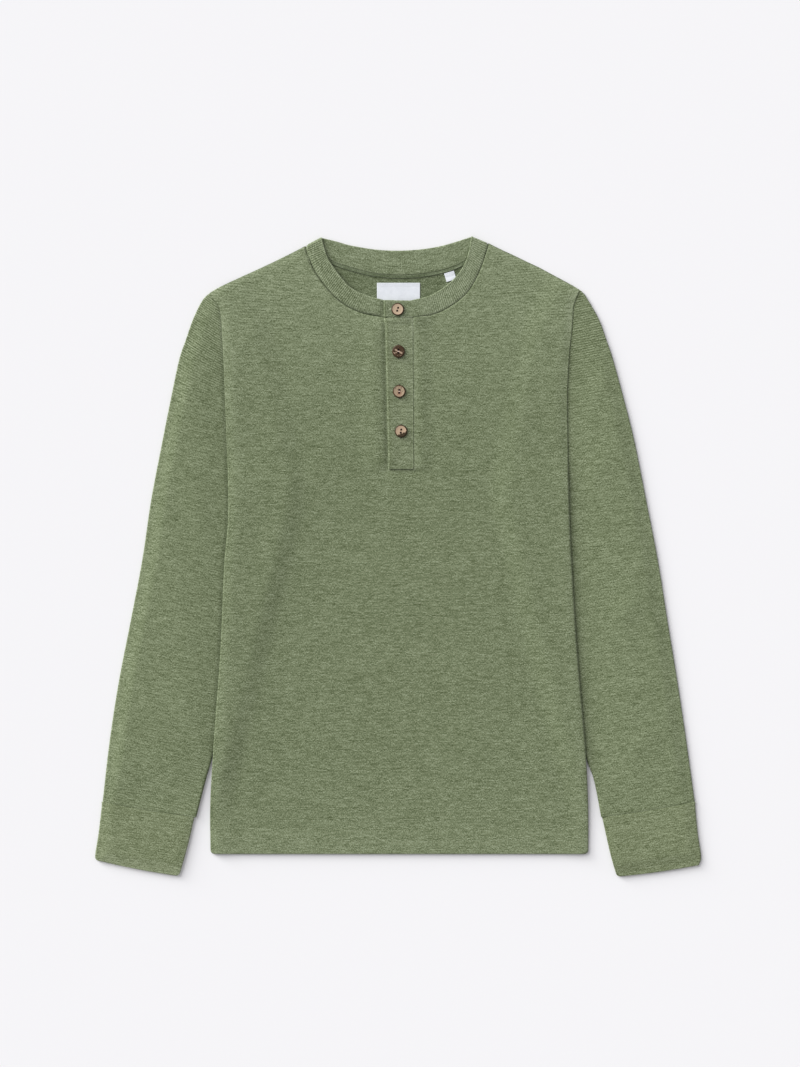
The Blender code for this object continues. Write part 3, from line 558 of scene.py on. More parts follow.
def finish_of(name, roughness, sheen=0.0, specular=0.5):
    """A material with a plain Principled shader."""
    made = bpy.data.materials.new(name)
    made.use_nodes = True
    for socket, value in {"Roughness": roughness, "Sheen Weight": sheen, "Sheen Roughness": 0.6,
                          "Specular IOR Level": specular}.items():
        shader_of(made)[socket].default_value = value
    return made


def covered(finish, shade, height, strength, relief):
    """The finish with its colour and its bumps, which are given in mm."""
    bump = height.into("ShaderNodeBump", {"Strength": strength, "Distance": relief * MM, "Height": height})
    for signal, socket in ((shade, "Base Color"), (bump, "Normal")):
        finish.node_tree.links.new(signal.socket, shader_of(finish)[socket])
    return finish


def grouped(finish, group, inputs, strength, relief):
    """The finish covered by a node group, whose inputs are set or linked by name."""
    made = node(finish.node_tree, "ShaderNodeGroup", inputs, node_tree=bpy.data.node_groups[group])
    return covered(finish, *(Signal(made.outputs[name]) for name in ("Color", "Height")), strength, relief)


def on_surface(finish, kind, output, **settings):
    """What a material reads from the object: its own coordinates, a UV layer or an attribute."""
    return Signal(node(finish.node_tree, kind, **settings).outputs[output])


def colour(red, green, blue, share=1.0):
    """A colour as a screen shows it, from 0 to 255, as the linear numbers that a shader needs, and dimmed by
    the share, for a surface that reflects less than its looks under a strong light suggest."""
    return (*[share * ((shade / 255 + 0.055) / 1.055) ** 2.4 for shade in (red, green, blue)], 1.0)


# %% The heathered knit, as a node group
COURSE = 1.3
WALE = 1.15

tree, given = node_group("heathered_knit", Vector=["Cloth"], Color=["Dark yarn", "Light yarn"],
                         Float=["Heather", "Rib", "Rib pitch", "Faded"])
along_course, across_course = (part / MM for part in given["Cloth"].parts())
course = (across_course / COURSE).math("FLOOR")
row, row_before = (place(along_course, number * 37.3) for number in (course, course - 1.0))
fibres = place(along_course, across_course, 140.0).noise(0.8, 1.0)
blended = [
    # noises round a half, each with its weight: streaks, the course before, long streaks, clouds and fibres
    (row.noise(0.58, 1.5, 0.6), 1.58), (row_before.noise(0.58, 1.5, 0.6), -0.47),
    (place(along_course, course * 61.7, 40.0).noise(0.115, 1.0), 0.82),
    (place(along_course, across_course, 90.0).noise(0.035, 2.0), 0.06), (fibres, 1.05)]
weighed = [(noise - 0.5) * weight for noise, weight in blended]
heather = sum(weighed[1:], weighed[0])
ribs = (across_course / given["Rib pitch"] * TURN).math("COSINE") * given["Rib"]
chevron = ((along_course / WALE).math("FRACT") - 0.5).math("ABSOLUTE")
loops = ((across_course / COURSE + chevron) * TURN).math("COSINE")
# the painted light and shade of each point moves it toward the light or the dark yarn
shade = (heather * given["Heather"] + 0.5 + ribs * 0.22 + loops * 0.015).math(
    "ADD", given["Faded"] * 0.12, use_clamp=True)
dyed = shade.blend(given["Dark yarn"], given["Light yarn"])
node(tree, "NodeGroupOutput", {"Color": dyed.into("ShaderNodeGamma", {0: dyed, 1: 2.2}),
                               "Height": loops * 0.25 + fibres * 0.5 + ribs * 0.8})
print("courses", COURSE, "mm tall, wales", WALE, "mm wide, ribs", RIB_PITCH, "mm apart")


# %% The knit finishes
def knit_finish(name, base, heather=1.0, pitch=RIB_PITCH, span=42.0):
    """The knit in one shade: the yarn goes from span below the base to span above it, on a screen's scale.
    The group blends on that scale too, where equal steps look equal, and then makes the colour linear."""
    made = finish_of(name, 0.95, sheen=0.12, specular=0.2)
    dark, light = ([(shade + way * span) / 255 * DIMMED ** (1 / 2.2) for shade in base] for way in (-1, 1))
    return grouped(made, "heathered_knit", {
        "Dark yarn": (*dark, 1.0), "Light yarn": (*light, 1.0), "Heather": heather, "Rib pitch": pitch,
        "Cloth": on_surface(made, "ShaderNodeUVMap", 0, uv_map="cloth"),
        "Rib": on_surface(made, "ShaderNodeAttribute", "Fac", attribute_name="rib"),
        "Faded": on_surface(made, "ShaderNodeAttribute", "Fac", attribute_name="faded")}, 1.0, 0.12)


BODY_KNIT = knit_finish("body_knit", (117.2, 128.2, 95.6))
# the back is the body's knit made darker: painted shade inside the neck, the only place where it shows
BACK_KNIT = knit_finish("back_knit", (106.5, 117.5, 86.5))
SLEEVE_KNIT = knit_finish("sleeve_knit", (118.6, 129.8, 96.4))
CUFF_KNIT = knit_finish("cuff_knit", (121.5, 132, 98))
PLACKET_KNIT = knit_finish("placket_knit", (122.5, 133, 101))
BAND_KNIT = knit_finish("band_knit", (122, 133, 101), pitch=BAND_RIB_PITCH)
# the tape is of the same knit as the body, made darker: painted shade below the band's seam
TAPE_KNIT = knit_finish("tape_knit", (94, 105, 76), heather=0.7)

# %% [markdown]
# ## The front
#
# The front is one panel of knit with a slit for the placket. A cutter would lay it out from its edges, and so
# does the grid: two side lines, the hem, and a top line that runs along one shoulder, round the neckline and
# along the other shoulder. Everything between is blended from those four lines. The sides are folds, so the
# cloth there rolls over and down onto what lies beneath, and the hem is a thinner roll. Soft ridges are put
# in one by one: pulled from the underarm toward the placket, along the sides and above the hem.

# %% The front's outline
SHOULDER_TIP = BODY_EDGES[0, 0]
HEM_CORNER = 4.5
NECK_COLUMN = 108.0


def body_side(side, shares, inset=0.0, top=SHOULDER_TIP):
    """Points up a side line, with the corner at the hem rounded: the edge less a quarter circle's gap."""
    heights = HEM + np.asarray(shares) * (top - HEM)
    bend = HEM_CORNER * (1.0 - rolled(heights - HEM, HEM_CORNER))
    return np.column_stack([edge_at(BODY_EDGES, heights, side) - side * (bend + inset), heights])


def shoulder_line(neck, tip, shares):
    """Points on the shoulder seam from the neckband to the sleeve, met exactly at the neck."""
    x = neck[0] + shares * (tip - neck[0])
    return np.column_stack([x, shoulder_at(x) + (1 - shares) ** 4 * (neck[1] - shoulder_at(neck[0]))])


def top_line(neckline, tips, counts, near_slit=()):
    """The panel's top from right to left: a shoulder, the neckline through its marks, and a shoulder. It also
    returns, for every mark, the shares that lead up to it. Columns are close together beside the slit."""
    outer = steps_between(0.0, 1.0, 1.0 / counts[0], (0.002, 0.006, 0.012, 0.02, 0.035, 0.055))
    right = shoulder_line(neckline[0][0], tips[0], 1.0 - outer)
    left = shoulder_line(neckline[-1][-1], tips[1], outer)
    parts, zones = [right], [outer]
    for number, (line, count) in enumerate(zip(neckline, counts[1:])):
        shares = np.linspace(0.0, 1.0, count + 1)
        if len(near_slit) and number != 1:
            close = np.array(near_slit)
            shares = np.r_[shares[shares < 1 - close.max()], 1 - close[::-1], 1.0]
            shares = shares if number == 0 else 1 - shares[::-1]
        parts.append(along(line, shares[1:]))
        zones.append(shares)
    return np.vstack(parts + [left[1:]]), zones + [outer]


def panel_plan(top, zones, hem_x, rows, sides):
    """Plan of a panel: the hem is shared out between its marks as the top line is between its own."""
    bottom = np.concatenate([start + shares[:-1] * (end - start)
                             for shares, start, end in zip(zones, hem_x[:-1], hem_x[1:])] + [hem_x[-1:]])
    hem = np.column_stack([bottom, np.full(len(top), HEM)])
    shares = (bottom - bottom[0]) / (bottom[-1] - bottom[0])
    return patch(hem, top, sides[0], sides[1], rows, shares)


slit = [[PLACKET_TOP[0] + PLACKET_LAP, NECK_FRONT], [PLACKET_TOP[1] - PLACKET_LAP, NECK_FRONT]]
neckline = [np.vstack([FRONT_RIGHT[:, :2], slit[:1]]), np.array(slit),
            np.vstack([slit[1:], FRONT_LEFT[:, :2]])]
tips = [float(edge_at(BODY_EDGES, SHOULDER_TIP, side)) for side in (-1, 1)]
NEAR_SLIT = (0.005, 0.01, 0.015, 0.02, 0.026, 0.033, 0.042, 0.055, 0.075)
front_top, zones = top_line(neckline, tips, (26, 44, 10, 44), NEAR_SLIT)
marks = np.cumsum([0] + [len(shares) - 1 for shares in zones])
tall = NECK_FRONT - HEM
slit_end = PLACKET_BOTTOM + PLACKET_LAP - HEM
front_rows = np.unique(np.concatenate([steps_between(0.0, slit_end, 4.4)[:-5], [slit_end],
                                       steps_between(slit_end, tall, 4.4)[4:]]) / tall)
sides = [body_side(side, front_rows, top=float(shoulder_at(tip))) for side, tip in zip((-1, 1), tips)]
slit_hem = [placket_edge(HEM, 0) + PLACKET_LAP, placket_edge(HEM, 1) - PLACKET_LAP]
hem_marks = [sides[0][0, 0], -NECK_COLUMN, *slit_hem, NECK_COLUMN, sides[1][0, 0]]
front_plan = panel_plan(front_top, zones, hem_marks, front_rows, sides)
print("front grid:", front_plan.shape[:2])

# %% Ridges and hollows of the front
# the plateau, and the rises beside the placket's free and sewn edges, at the hem's seam and the left fold
PLATEAU = 0.7
FREE_RISE = 0.95
SEWN_RISE = 1.6
HEM_RISE = 0.35
LEFT_RISE = 0.8
LAP_RISE = BAND + SPACE
FRONT_CREASES = [
    # from x, y, to x, y, half width, rise
    (-178.0, -120.0, -60.0, 190.0, 26.0, 0.75), (-186.0, 60.0, -96.0, 215.0, 20.0, 0.45),
    (-182.0, -330.0, -150.0, -60.0, 16.0, 0.5), (120.0, 240.0, 176.0, 20.0, 24.0, 0.5),
    (60.0, 60.0, 186.0, -60.0, 30.0, 0.45), (-40.0, 40.0, 30.0, -210.0, 34.0, 0.4),
    (70.0, -60.0, 92.0, -300.0, 26.0, 0.4), (-120.0, -180.0, -30.0, -330.0, 22.0, 0.4),
    (150.0, -170.0, 196.0, -320.0, 18.0, 0.5), (30.0, 250.0, 100.0, 150.0, 22.0, 0.45),
    (-150.0, 290.0, -190.0, 235.0, 15.0, 0.5), (150.0, 290.0, 186.0, 240.0, 15.0, 0.5),
]


def front_air(x, y):
    """How far the front stands off its level: a low plateau with the ridges, eased away at every edge, and
    some rises of its own: beside the placket's two edges, above the hem's seam, along the left side fold, and
    at the neck, where the band laps over itself."""
    free, sewn, foot = beside_placket(x, y)
    off_placket = np.hypot(np.maximum(np.maximum(free, sewn), 0.0), np.maximum(foot, 0.0))
    neck = distance_to(np.stack([x, y], -1), NECK_LINE)
    inward, up = inside(BODY_EDGES, x, y), y - HEM
    ease = ramp(inward, 0.0, 40.0) * ramp(up, 0.0, 45.0) * ramp(neck, 0.0, 40.0)
    ease = ease * ramp(shoulder_at(x) - y, 0.0, 40.0) * ramp(off_placket, 0.0, 12.0)
    beside_free = ramp(free, -0.3, 3.5) * ramp(free, 38.0, 4.0) * ramp(foot, 6.0, -8.0)
    hem_step = ramp(up, 27.0, 24.0) * ramp(inward, 0.0, 12.0)
    left_fold = ramp(inward, 14.0, 0.0) * (x > 0) * ramp(y, 140.0, 80.0)
    lapped = ramp(x, PLACKET_TOP[1] + 34.0, PLACKET_TOP[1]) * ramp(neck, 16.0, 0.0) * ramp(sewn, 0.0, 3.0)
    return (0.6 * LAP_RISE * lapped + ease * (PLATEAU + creased(x, y, FRONT_CREASES))
            + FREE_RISE * beside_free * ramp(neck, 0.0, 10.0) + SEWN_RISE * beside_sewn_edge(x, y)
            + HEM_RISE * hem_step + LEFT_RISE * left_fold)


# %% The front panel
# the least share of its thickness that cloth keeps at a rim, the least wall, and the pull of the seams
THIN_RIM = 0.3
LEAST_WALL = 0.15
SEAM_PULL = 0.45


def front_levels(plan):
    """Upper and lower faces: the level and its air, rolled over at every edge, and dropped at the folds. The
    seams pull the cloth down: it bows to the shoulder seam, and is drawn in along the neckline."""
    x, y = plan[..., 0], plan[..., 1]
    low = front_low(x, y) + front_air(x, y)
    high = low + KNIT
    covered_back = below_underarm(y)
    beneath = back_low(x, y) * covered_back + 2 * LAYER * (1.0 - covered_back) + 0.2 * SPACE
    fold = np.minimum(*(distance_to(plan, plan[:, column]) for column in (0, -1)))
    reach = sided(x, 7.0, 4.0)
    low = low + ramp(fold, reach, 0.4 * reach) * ramp(y, 250.0, 210.0) * (np.minimum(beneath, low) - low)
    middle, half = 0.5 * (low + high), 0.5 * (high - low)
    share = rolled(fold, half, THIN_RIM + 0.35 * ramp(y, 250.0, 270.0))
    ends = np.minimum(distance_to(plan, plan[0]), distance_to(plan, plan[-1]))
    share = np.minimum(share, rolled(ends, 0.5 * KNIT, THIN_RIM))
    bowed_down = SEAM_PULL * ramp(shoulder_at(x) - y, 6.0, 0.0) * ramp(np.abs(x), 110.0, 122.0) * (y > 290.0)
    drawn_in = sided(x, 0.55, SEAM_PULL) * ramp(distance_to(plan, NECK_LINE), 1.6, 0.0)
    drawn_in = drawn_in * ramp(np.abs(x), 19.0, sided(x, 26.0, 35.0))
    bottom, top = middle - half * share, np.maximum(middle + half * share - bowed_down, middle)
    return bottom, np.maximum(top - drawn_in, bottom + LEAST_WALL)


def front_light_paint(x, y, plan):
    """The painted light and shade of the front, with what its seams add: painted paler along the shoulder
    seams, beside the neck seam, along the placket's sewn edge and at its foot, and painted darker in the seam
    below the band, which fades out beside the placket, and in a line just below that seam on the wearer's
    left."""
    rim = np.minimum(distance_to(plan, SHOULDERS[:, [0, 2]]),
                     distance_to(plan, SHOULDERS[:, :2] * [-1.0, 1.0]))
    seam = distance_to(plan, NECK_LINE)
    free, sewn, foot = beside_placket(x, y)
    painted_seam_light = 0.3 * ramp(seam, 22.0, 0.0) - sided(x, 0.9, 0.2) * ramp(seam, 1.6, 0.0)
    return (faded(x, y) + 0.9 * ramp(rim, 6.0, 0.0) + painted_seam_light * ramp(np.abs(x), 19.0, sided(x, 25.0, 35.0))
            - (x > 25.0) * ramp(np.abs(seam - 3.0), 3.0, 0.0)
            + ramp(sewn, 7.0, 3.0) * (sewn > -1.0) * ramp(y, 277.0, 265.0) * (foot < 2.0)
            + 2.0 * ramp(foot, 4.0, 0.0) * (foot > -1.0) * (free < 1.0) * (sewn < 1.0)
            + 2.5 * ramp(sewn, 2.0, 0.4) * (sewn > -2.0) * ramp(y, 256.0, 268.0))


def laid(made, solid, material, flat, under, **more):
    """Hide the solid of the frame that a piece stands for. The piece, what it is made of, its cut in metres,
    what it rests on and the rest are not used."""
    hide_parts(solid)


low, high = front_levels(front_plan)
kept = np.ones(np.array(low.shape) - 1, bool)
kept[int(np.argmin(np.abs(front_rows * tall - slit_end))):, marks[2]:marks[3]] = False
x, y = front_plan[..., 0], front_plan[..., 1]
course = y + 3.0 * np.cos(x / 150.0) * ramp(y, -100.0, 250.0) - 5.0 * ramp(y, 250.0, 340.0) * (x / 150.0) ** 2
opened = 0.07 + 0.36 * ramp(y, 230.0, 320.0) * ramp(np.abs(x), 95.0, 120.0)
front = panel("front_cloth", front_plan, low, high, BODY_KNIT, np.stack([x, course], -1), opened, kept,
              front_light_paint(x, y, front_plan))
laid(front, "front_panel", "knit", (0.442, 0.720), ["back_panel"], area=0.274)

# %% [markdown]
# ## The back
#
# The back lies on the table, so its underside is flat, and it only rises at the sides where it passes over
# the sleeves. It has two parts with different widths: full width up to the underarm, and then only as far in
# as the armhole seams, which curve out to the shoulders. Two blended grids meet at the underarm line, and the
# corners that the armholes cut away are left out of the mesh.

# %% The back panel
BACK_INSET = 7.4
BACK_CREASES = [
    (-120.0, 250.0, 10.0, -40.0, 30.0, 0.25), (130.0, 220.0, 60.0, -100.0, 26.0, 0.25),
    (-60.0, -40.0, -110.0, -300.0, 24.0, 0.25), (20.0, -120.0, 90.0, -310.0, 28.0, 0.2)]


def back_side(side, rows):
    """The armhole seam from the underarm up to the shoulder tip, a hair inside the sleeve's edge."""
    heights = UNDERARM + np.asarray(rows) * (SLEEVE_INNER[0, 0] - UNDERARM)
    return np.column_stack([edge_at(SLEEVE_INNER, heights, side) - side * 1.1 * SPACE, heights])


back_tips = [float(back_side(side, [1.0])[0, 0]) for side in (-1, 1)]
back_top, zones = top_line([BACK_LINE[::-1, :2]], back_tips, (22, 90))
upper_rows = steps_between(0.0, 1.0, 0.02, (0.001, 0.003, 0.006, 0.01, 0.016, 0.026))
upper_sides = [back_side(side, upper_rows) for side in (-1, 1)]
across = np.interp(np.arange(len(back_top)), [0, len(zones[0]) - 1, len(zones[0]) + 89, len(back_top) - 1],
                   [upper_sides[0][0, 0], -100.0, 100.0, upper_sides[1][0, 0]])
shares = (across - across[0]) / (across[-1] - across[0])
upper = patch(np.column_stack([across, np.full(len(across), UNDERARM)]), back_top, *upper_sides,
              upper_rows, shares)
lower_rows = steps_between(0.0, UNDERARM - HEM, 7.0) / (UNDERARM - HEM)
wings = []
for side, start in ((-1, across[0]), (1, across[-1])):
    edge = body_side(side, lower_rows, BACK_INSET, UNDERARM)
    columns = steps_between(0.0, 1.0, 0.1, (0.006, 0.02, 0.04, 0.07, 0.12, 0.19))[:-1]
    wings.append(np.stack([edge[:, :1] + columns * (start - edge[-1, 0]),
                           np.repeat(edge[:, 1:], len(columns), 1)], -1))
inner = [wing[:, 0, 0] + (start - wing[-1, 0, 0]) for wing, start in zip(wings, (across[0], across[-1]))]
body = inner[0][:, None] + shares * (inner[1] - inner[0])[:, None]
centre = np.stack([body, np.repeat(wings[0][:, :1, 1], body.shape[1], 1)], -1)
lower = np.concatenate([wings[0], centre, wings[1][:, ::-1]], 1)
wing = wings[0].shape[1]
back_plan = np.concatenate([lower, np.concatenate([
    np.repeat(upper[1:, :1], wing, 1), upper[1:], np.repeat(upper[1:, -1:], wing, 1)], 1)])
kept = np.ones(np.array(back_plan.shape[:2]) - 1, bool)
kept[len(lower) - 1:, :wing] = kept[len(lower) - 1:, -wing:] = False
x, y = back_plan[..., 0], back_plan[..., 1]
outline = np.vstack([lower[::-1, 0], lower[0], lower[:, -1], lower[-1, :-wing - 1:-1], upper[:, -1],
                     upper[-1, ::-1], upper[::-1, 0], lower[-1, wing::-1]])
rim = distance_to(back_plan, outline)
low = back_low(x, y)
folds = np.clip(creased(x, y, BACK_CREASES), 0.0, 0.3) * ramp(rim, 0.0, 20.0) * ramp(y, 330.0, 270.0)
half = 0.5 * (KNIT + folds)
share = rolled(rim, 0.5 * KNIT, THIN_RIM)
back = panel("back_cloth", back_plan, low + half * (1 - share), low + half * (1 + share), BACK_KNIT,
             np.stack([x, y], -1), 0.12, kept)

# %% [markdown]
# ## Sleeves and cuffs
#
# A sleeve is a tube that has been pressed flat: two layers of knit with a fold down each side. Its own grid
# runs from the armhole to the cuff and from the outer fold to the inner one, and the loop round the tube
# takes the upper layer out and the lower layer back. The tube is full where nothing lies on it and pressed
# thin under the body. A cuff is the same tube in a doubled cloth, turned in at the hand. Both have an inner
# wall, so that they are open to look into. The ribs of the knit turn with the head of the sleeve.

# %% A pressed tube
EDGE_STEPS = np.array([0.0, 0.12, 0.4, 0.85, 1.5, 2.4, 3.6, 5.2, 7.5, 10.5])


def across_tube(width, count):
    """Shares of a tube's width, close together at both folds."""
    near = EDGE_STEPS / width
    return np.concatenate([near[:-1], np.linspace(near[-1], 1 - near[-1], count), 1 - near[-2::-1]])


def pressed_tube(name, plan_at, columns, rows, wall, full, finish, cloth_at, length):
    """A flat tube with an inner wall. Loops go down the outside, round the lower edge and up the inside, each
    set in by its depth. Heights are half the fullness, plus and minus that times the fold's half round."""
    turn = np.linspace(0.0, math.pi, 9)[1:-1]
    lip = 0.14 * wall / length
    outside = lip + rows * (1 - 2 * lip)
    out = lip * np.sin(turn) ** 0.6
    places = np.concatenate([outside, 1 - lip + out, outside[::-1], lip - out])
    bend = 0.5 * wall * (1 - np.cos(turn))
    depth = np.concatenate([0 * rows, bend, 0 * rows + wall, bend[::-1]])[:, None]
    plan = plan_at(np.clip(places, 0.0, 1.0), columns)
    width = np.hypot(*np.moveaxis(plan[:, -1] - plan[:, 0], -1, 0))[:, None]
    drawn = depth / width + columns * (1 - 2 * depth / width)
    plan = plan + (drawn - columns)[..., None] * (plan[:, -1:] - plan[:, :1])
    half = 0.5 * full(plan[..., 0], plan[..., 1])
    away = np.minimum(columns, 1 - columns) * (width - 2 * depth)
    rise = (half - depth) * rolled(away, half - depth)
    grid = np.concatenate([np.dstack([plan, half + rise]), np.dstack([plan, half - rise])[:, -2:0:-1]], 1)
    x, y = grid[..., 0], grid[..., 1]
    # each point carries the painted light and shade of its place on the sleeve or cuff
    return piece(name, grid, quads_of(*grid.shape[:2], True, True), finish, *cloth_at(x, y), faded(x, y))


# %% How full a sleeve is
SLEEVE_CREASES = {
    -1: [(-262.0, 130.0, -214.0, 20.0, 14.0, 0.6), (-292.0, -60.0, -232.0, -110.0, 12.0, 0.6),
         (-310.0, -150.0, -250.0, -215.0, 13.0, 0.5), (-276.0, 60.0, -250.0, -90.0, 16.0, 0.5),
         (-250.0, 215.0, -222.0, 140.0, 12.0, 0.4)],
    1: [(258.0, 150.0, 216.0, 60.0, 13.0, 0.5), (300.0, -40.0, 236.0, -80.0, 14.0, 0.6),
        (318.0, -190.0, 262.0, -236.0, 13.0, 0.5), (282.0, 30.0, 262.0, -120.0, 15.0, 0.5),
        (246.0, 225.0, 220.0, 165.0, 11.0, 0.4)]}
CUFF_FULL = 4.4
FOLD_FULL = 3.0
UNDER_FULL = 2.5
END_THIN = 0.15
# for each side: the rise beyond the body's edge and its width, the step at the edge and its width
SLEEVE_RISE = {-1: (2.5, 46.0, 0.75, 5.0), 1: (2.1, 64.0, 0.0, 5.0)}
# the same in the sleeve head, where the seam holds both cloths nearly level
HEAD_RISE = {-1: (0.3, 30.0, 1.85, 1.3), 1: (0.0, 30.0, 0.85, 1.3)}


def sleeve_full(x, y):
    """Height of the pressed tube: thin under the body, fuller with the distance outside its edge, and thin
    again at the outer fold. On the right the rise starts steep, as 1 less (1 - way) squared, so that the
    cloth falls toward the body. On the left it starts flat."""
    outside = -inside(BODY_EDGES, x, y)
    inward = inside(SLEEVE_OUTER, x, y)
    head = ramp(y, 210.0, 270.0)
    full = UNDER_FULL
    for side in (-1, 1):
        rises = []
        for most, width, step, step_width in (SLEEVE_RISE[side], HEAD_RISE[side]):
            way = np.clip(outside / width, 0.0, 1.0)
            curve = 1.0 - (1.0 - way) ** 2 if side < 0 else ramp(way, 0.0, 1.0)
            rises.append(most * curve + step * ramp(outside, -0.6, step_width - 0.6))
        made = (1 - head) * rises[0] + head * rises[1]
        made = made + creased(x, y, SLEEVE_CREASES[side]) * ramp(outside, 0.0, 30.0)
        full = full + (x * side > 0) * made * (0.12 + 0.88 * ramp(inward, 0.0, 20.0))
    low_end = CUFF_FULL - END_THIN + (FOLD_FULL - CUFF_FULL) * ramp(inward, 16.0, 0.0)
    return full + ramp(y, -235.0, -285.0) * (low_end - full) * ramp(outside, -2.0, 10.0)


# %% The knit on a sleeve
# for each side: the courses' slope on the sleeve and in its head, as the drop for each step outwards
SLEEVE_SLOPES = {-1: (0.21, 0.72), 1: (-0.14, -0.24)}
RIB_OPEN = {-1: 0.9, 1: 0.62}
HEAD_FROM, HEAD_TO = 120.0, 310.0
LEVEL_LINE = 214.0


def sleeve_cloth(side):
    """Courses on one sleeve: level lines turned by one slope low down and by another in the sleeve head, with
    a smooth change between them, and ribs that open in the head."""
    rest, head = SLEEVE_SLOPES[side]

    def cloth_at(x, y):
        slope = rest + (head - rest) * ramp(y, HEAD_FROM, HEAD_TO)
        return (np.stack([x, y + slope * (x - LEVEL_LINE * side)], -1),
                0.2 + RIB_OPEN[side] * ramp(y, 150.0, 260.0))

    return cloth_at


# %% Both sleeves
CUFF_BOW = 1.3


def armhole(side, shares):
    """The armhole seam from the shoulder tip down to the underarm."""
    heights = np.linspace(SLEEVE_INNER[0, 0], UNDERARM, 160)
    return along(np.column_stack([edge_at(SLEEVE_INNER, heights, side), heights]), shares)


def bowed(start, end, shares, corner=0.0):
    """A line across a cuff, bowed toward the hand as half a sine, with its last corner rounded."""
    start, end = np.array(start), np.array(end)
    left = (1.0 - shares) * np.hypot(*(end - start))
    rise = corner * (1.0 - rolled(left, corner)) if corner else 0.0
    bow = np.column_stack([0.0 * shares, rise - CUFF_BOW * np.sin(math.pi * shares)])
    return start + shares[:, None] * (end - start) + bow


def between_folds(first_row, last_row, outer, inner):
    """The plan of a tube: its first and last rows are lines across, and two curves run down its folds."""
    def plan_at(rows, columns):
        return patch(first_row(columns), last_row(columns), curve_at(outer, rows), curve_at(inner, rows),
                     rows, columns)

    return plan_at


for word, side, column in (("right", -1, 1), ("left", 1, 2)):
    outer, inner = SLEEVE_OUTER[:, [column, 0]], SLEEVE_INNER[4:, [column, 0]]
    plan_at = between_folds(partial(armhole, side), partial(bowed, outer[-1], inner[-1]), outer, inner)
    rows = np.concatenate([np.linspace(0.0, 0.24, 60)[:-1], np.linspace(0.24, 1.0, 130)])
    made = pressed_tube(word + "_sleeve_cloth", plan_at, across_tube(125.0, 78), rows, KNIT, sleeve_full,
                        SLEEVE_KNIT, sleeve_cloth(side), 600.0)
    laid(made, "sleeve_" + word, "knit", (0.290, 0.590), ["the table"], area=0.150)


# %% Both cuffs
def cuff_cloth(side):
    """Courses on a cuff run across it, square to its sides."""
    slope = 0.16 * side

    def cloth_at(x, y):
        off_middle = x - 296.0 * side
        return np.stack([off_middle + slope * y, y - slope * off_middle + 0.4], -1), 0.2

    return cloth_at


def cuff_full(x, y):
    """A cuff is full in its middle, thin at the outer fold and at the hand, and less so at the inner fold."""
    outer = np.interp(-y, [286.2, 323.3, 371.0], [347.0, 350.6, 355.0]) - np.abs(x)
    inner = np.abs(x) - np.interp(-y, [304.0, 349.0, 371.0], [237.0, 247.9, 255.2])
    foot = y + np.interp(np.abs(x), [254.0, 351.0], [372.0, 357.0])
    return np.minimum(np.minimum(
        FOLD_FULL + (CUFF_FULL - FOLD_FULL) * ramp(outer, 0.0, 16.0),
        FOLD_FULL + 0.8 + (CUFF_FULL - FOLD_FULL - 0.8) * ramp(inner, 0.0, 10.0)),
        FOLD_FULL - END_THIN + (CUFF_FULL - FOLD_FULL + END_THIN) * ramp(foot, 0.0, 16.0))


for word, side in (("right", -1), ("left", 1)):
    outer, inner = CUFF_OUTER[side], CUFF_INNER[side]
    turned_in = [*inner[:-1], (inner[-1][0], inner[-1][1] + CUFF_CORNER)]
    plan_at = between_folds(partial(bowed, outer[0], inner[0]),
                            partial(bowed, outer[-1], inner[-1], corner=CUFF_CORNER), outer, turned_in)
    made = pressed_tube(word + "_cuff_cloth", plan_at, across_tube(105.0, 26), np.linspace(0.0, 1.0, 36),
                        CUFF_WALL, cuff_full, CUFF_KNIT, cuff_cloth(side), 68.0)
    laid(made, "cuff_" + word, "knit", (0.225, 0.068), ["the table"], area=0.0152)

# %% [markdown]
# ## The neckband
#
# The band is a strip of the same knit, doubled and sewn on with its ribs standing across it. It starts under
# the left end at the centre front, goes round the right shoulder, along the back and round the left shoulder,
# and laps over its own start. A strip is a profile carried along a path. The path here holds, for each
# station, the seam's point, the free edge's point, and which way the band faces, so that it can roll over at
# the shoulders. The ribs are real: the profile's thickness swells and sinks as the path goes on.

# %% The band's path
UNDER_LAP = 12.0
FOLD_SPACE = 0.5
FOLD_TRIM = 1.6
FRONT_LEVEL = 1.5 * BAND + FOLD_SPACE
FREE_LEAN = 1.0
LAP_LIFT = 0.8
RIB_STATIONS = 6


def band_run(stations, levels, up):
    """Stations that lie flat: seam, free edge and facing, one row each."""
    level = np.broadcast_to(levels, len(stations))
    facing = np.tile([0.0, 0.0, up], (len(stations), 1))
    return np.column_stack([stations[:, :2], level, stations[:, 2:], level, facing])


def band_roll(station, first, last, steps=13):
    """Stations of the roll at a shoulder: a half circle across the table that turns the band over."""
    radius = 0.5 * (BAND + FOLD_SPACE)
    along_band = (station[2:] - station[:2]) / np.hypot(*(station[2:] - station[:2]))
    outward = np.array([-along_band[1], along_band[0]]) * (1 if along_band[0] > 0 else -1)
    angle = np.radians(np.linspace(first, last, steps))[:, None]
    shift = radius * (np.cos(angle) - 1.0) * outward
    level = 0.5 * BAND + radius * (1 + np.sin(angle))
    seam = station[:2] + shift + FOLD_TRIM * along_band
    return np.hstack([seam, level, station[2:] + shift, level, np.cos(angle) * outward, np.sin(angle)])


def front_share(levels):
    """1 where the band lies on the front, at the level of its seam, and 0 where it lies on the table."""
    return ramp(levels, 1.4, 2.2)


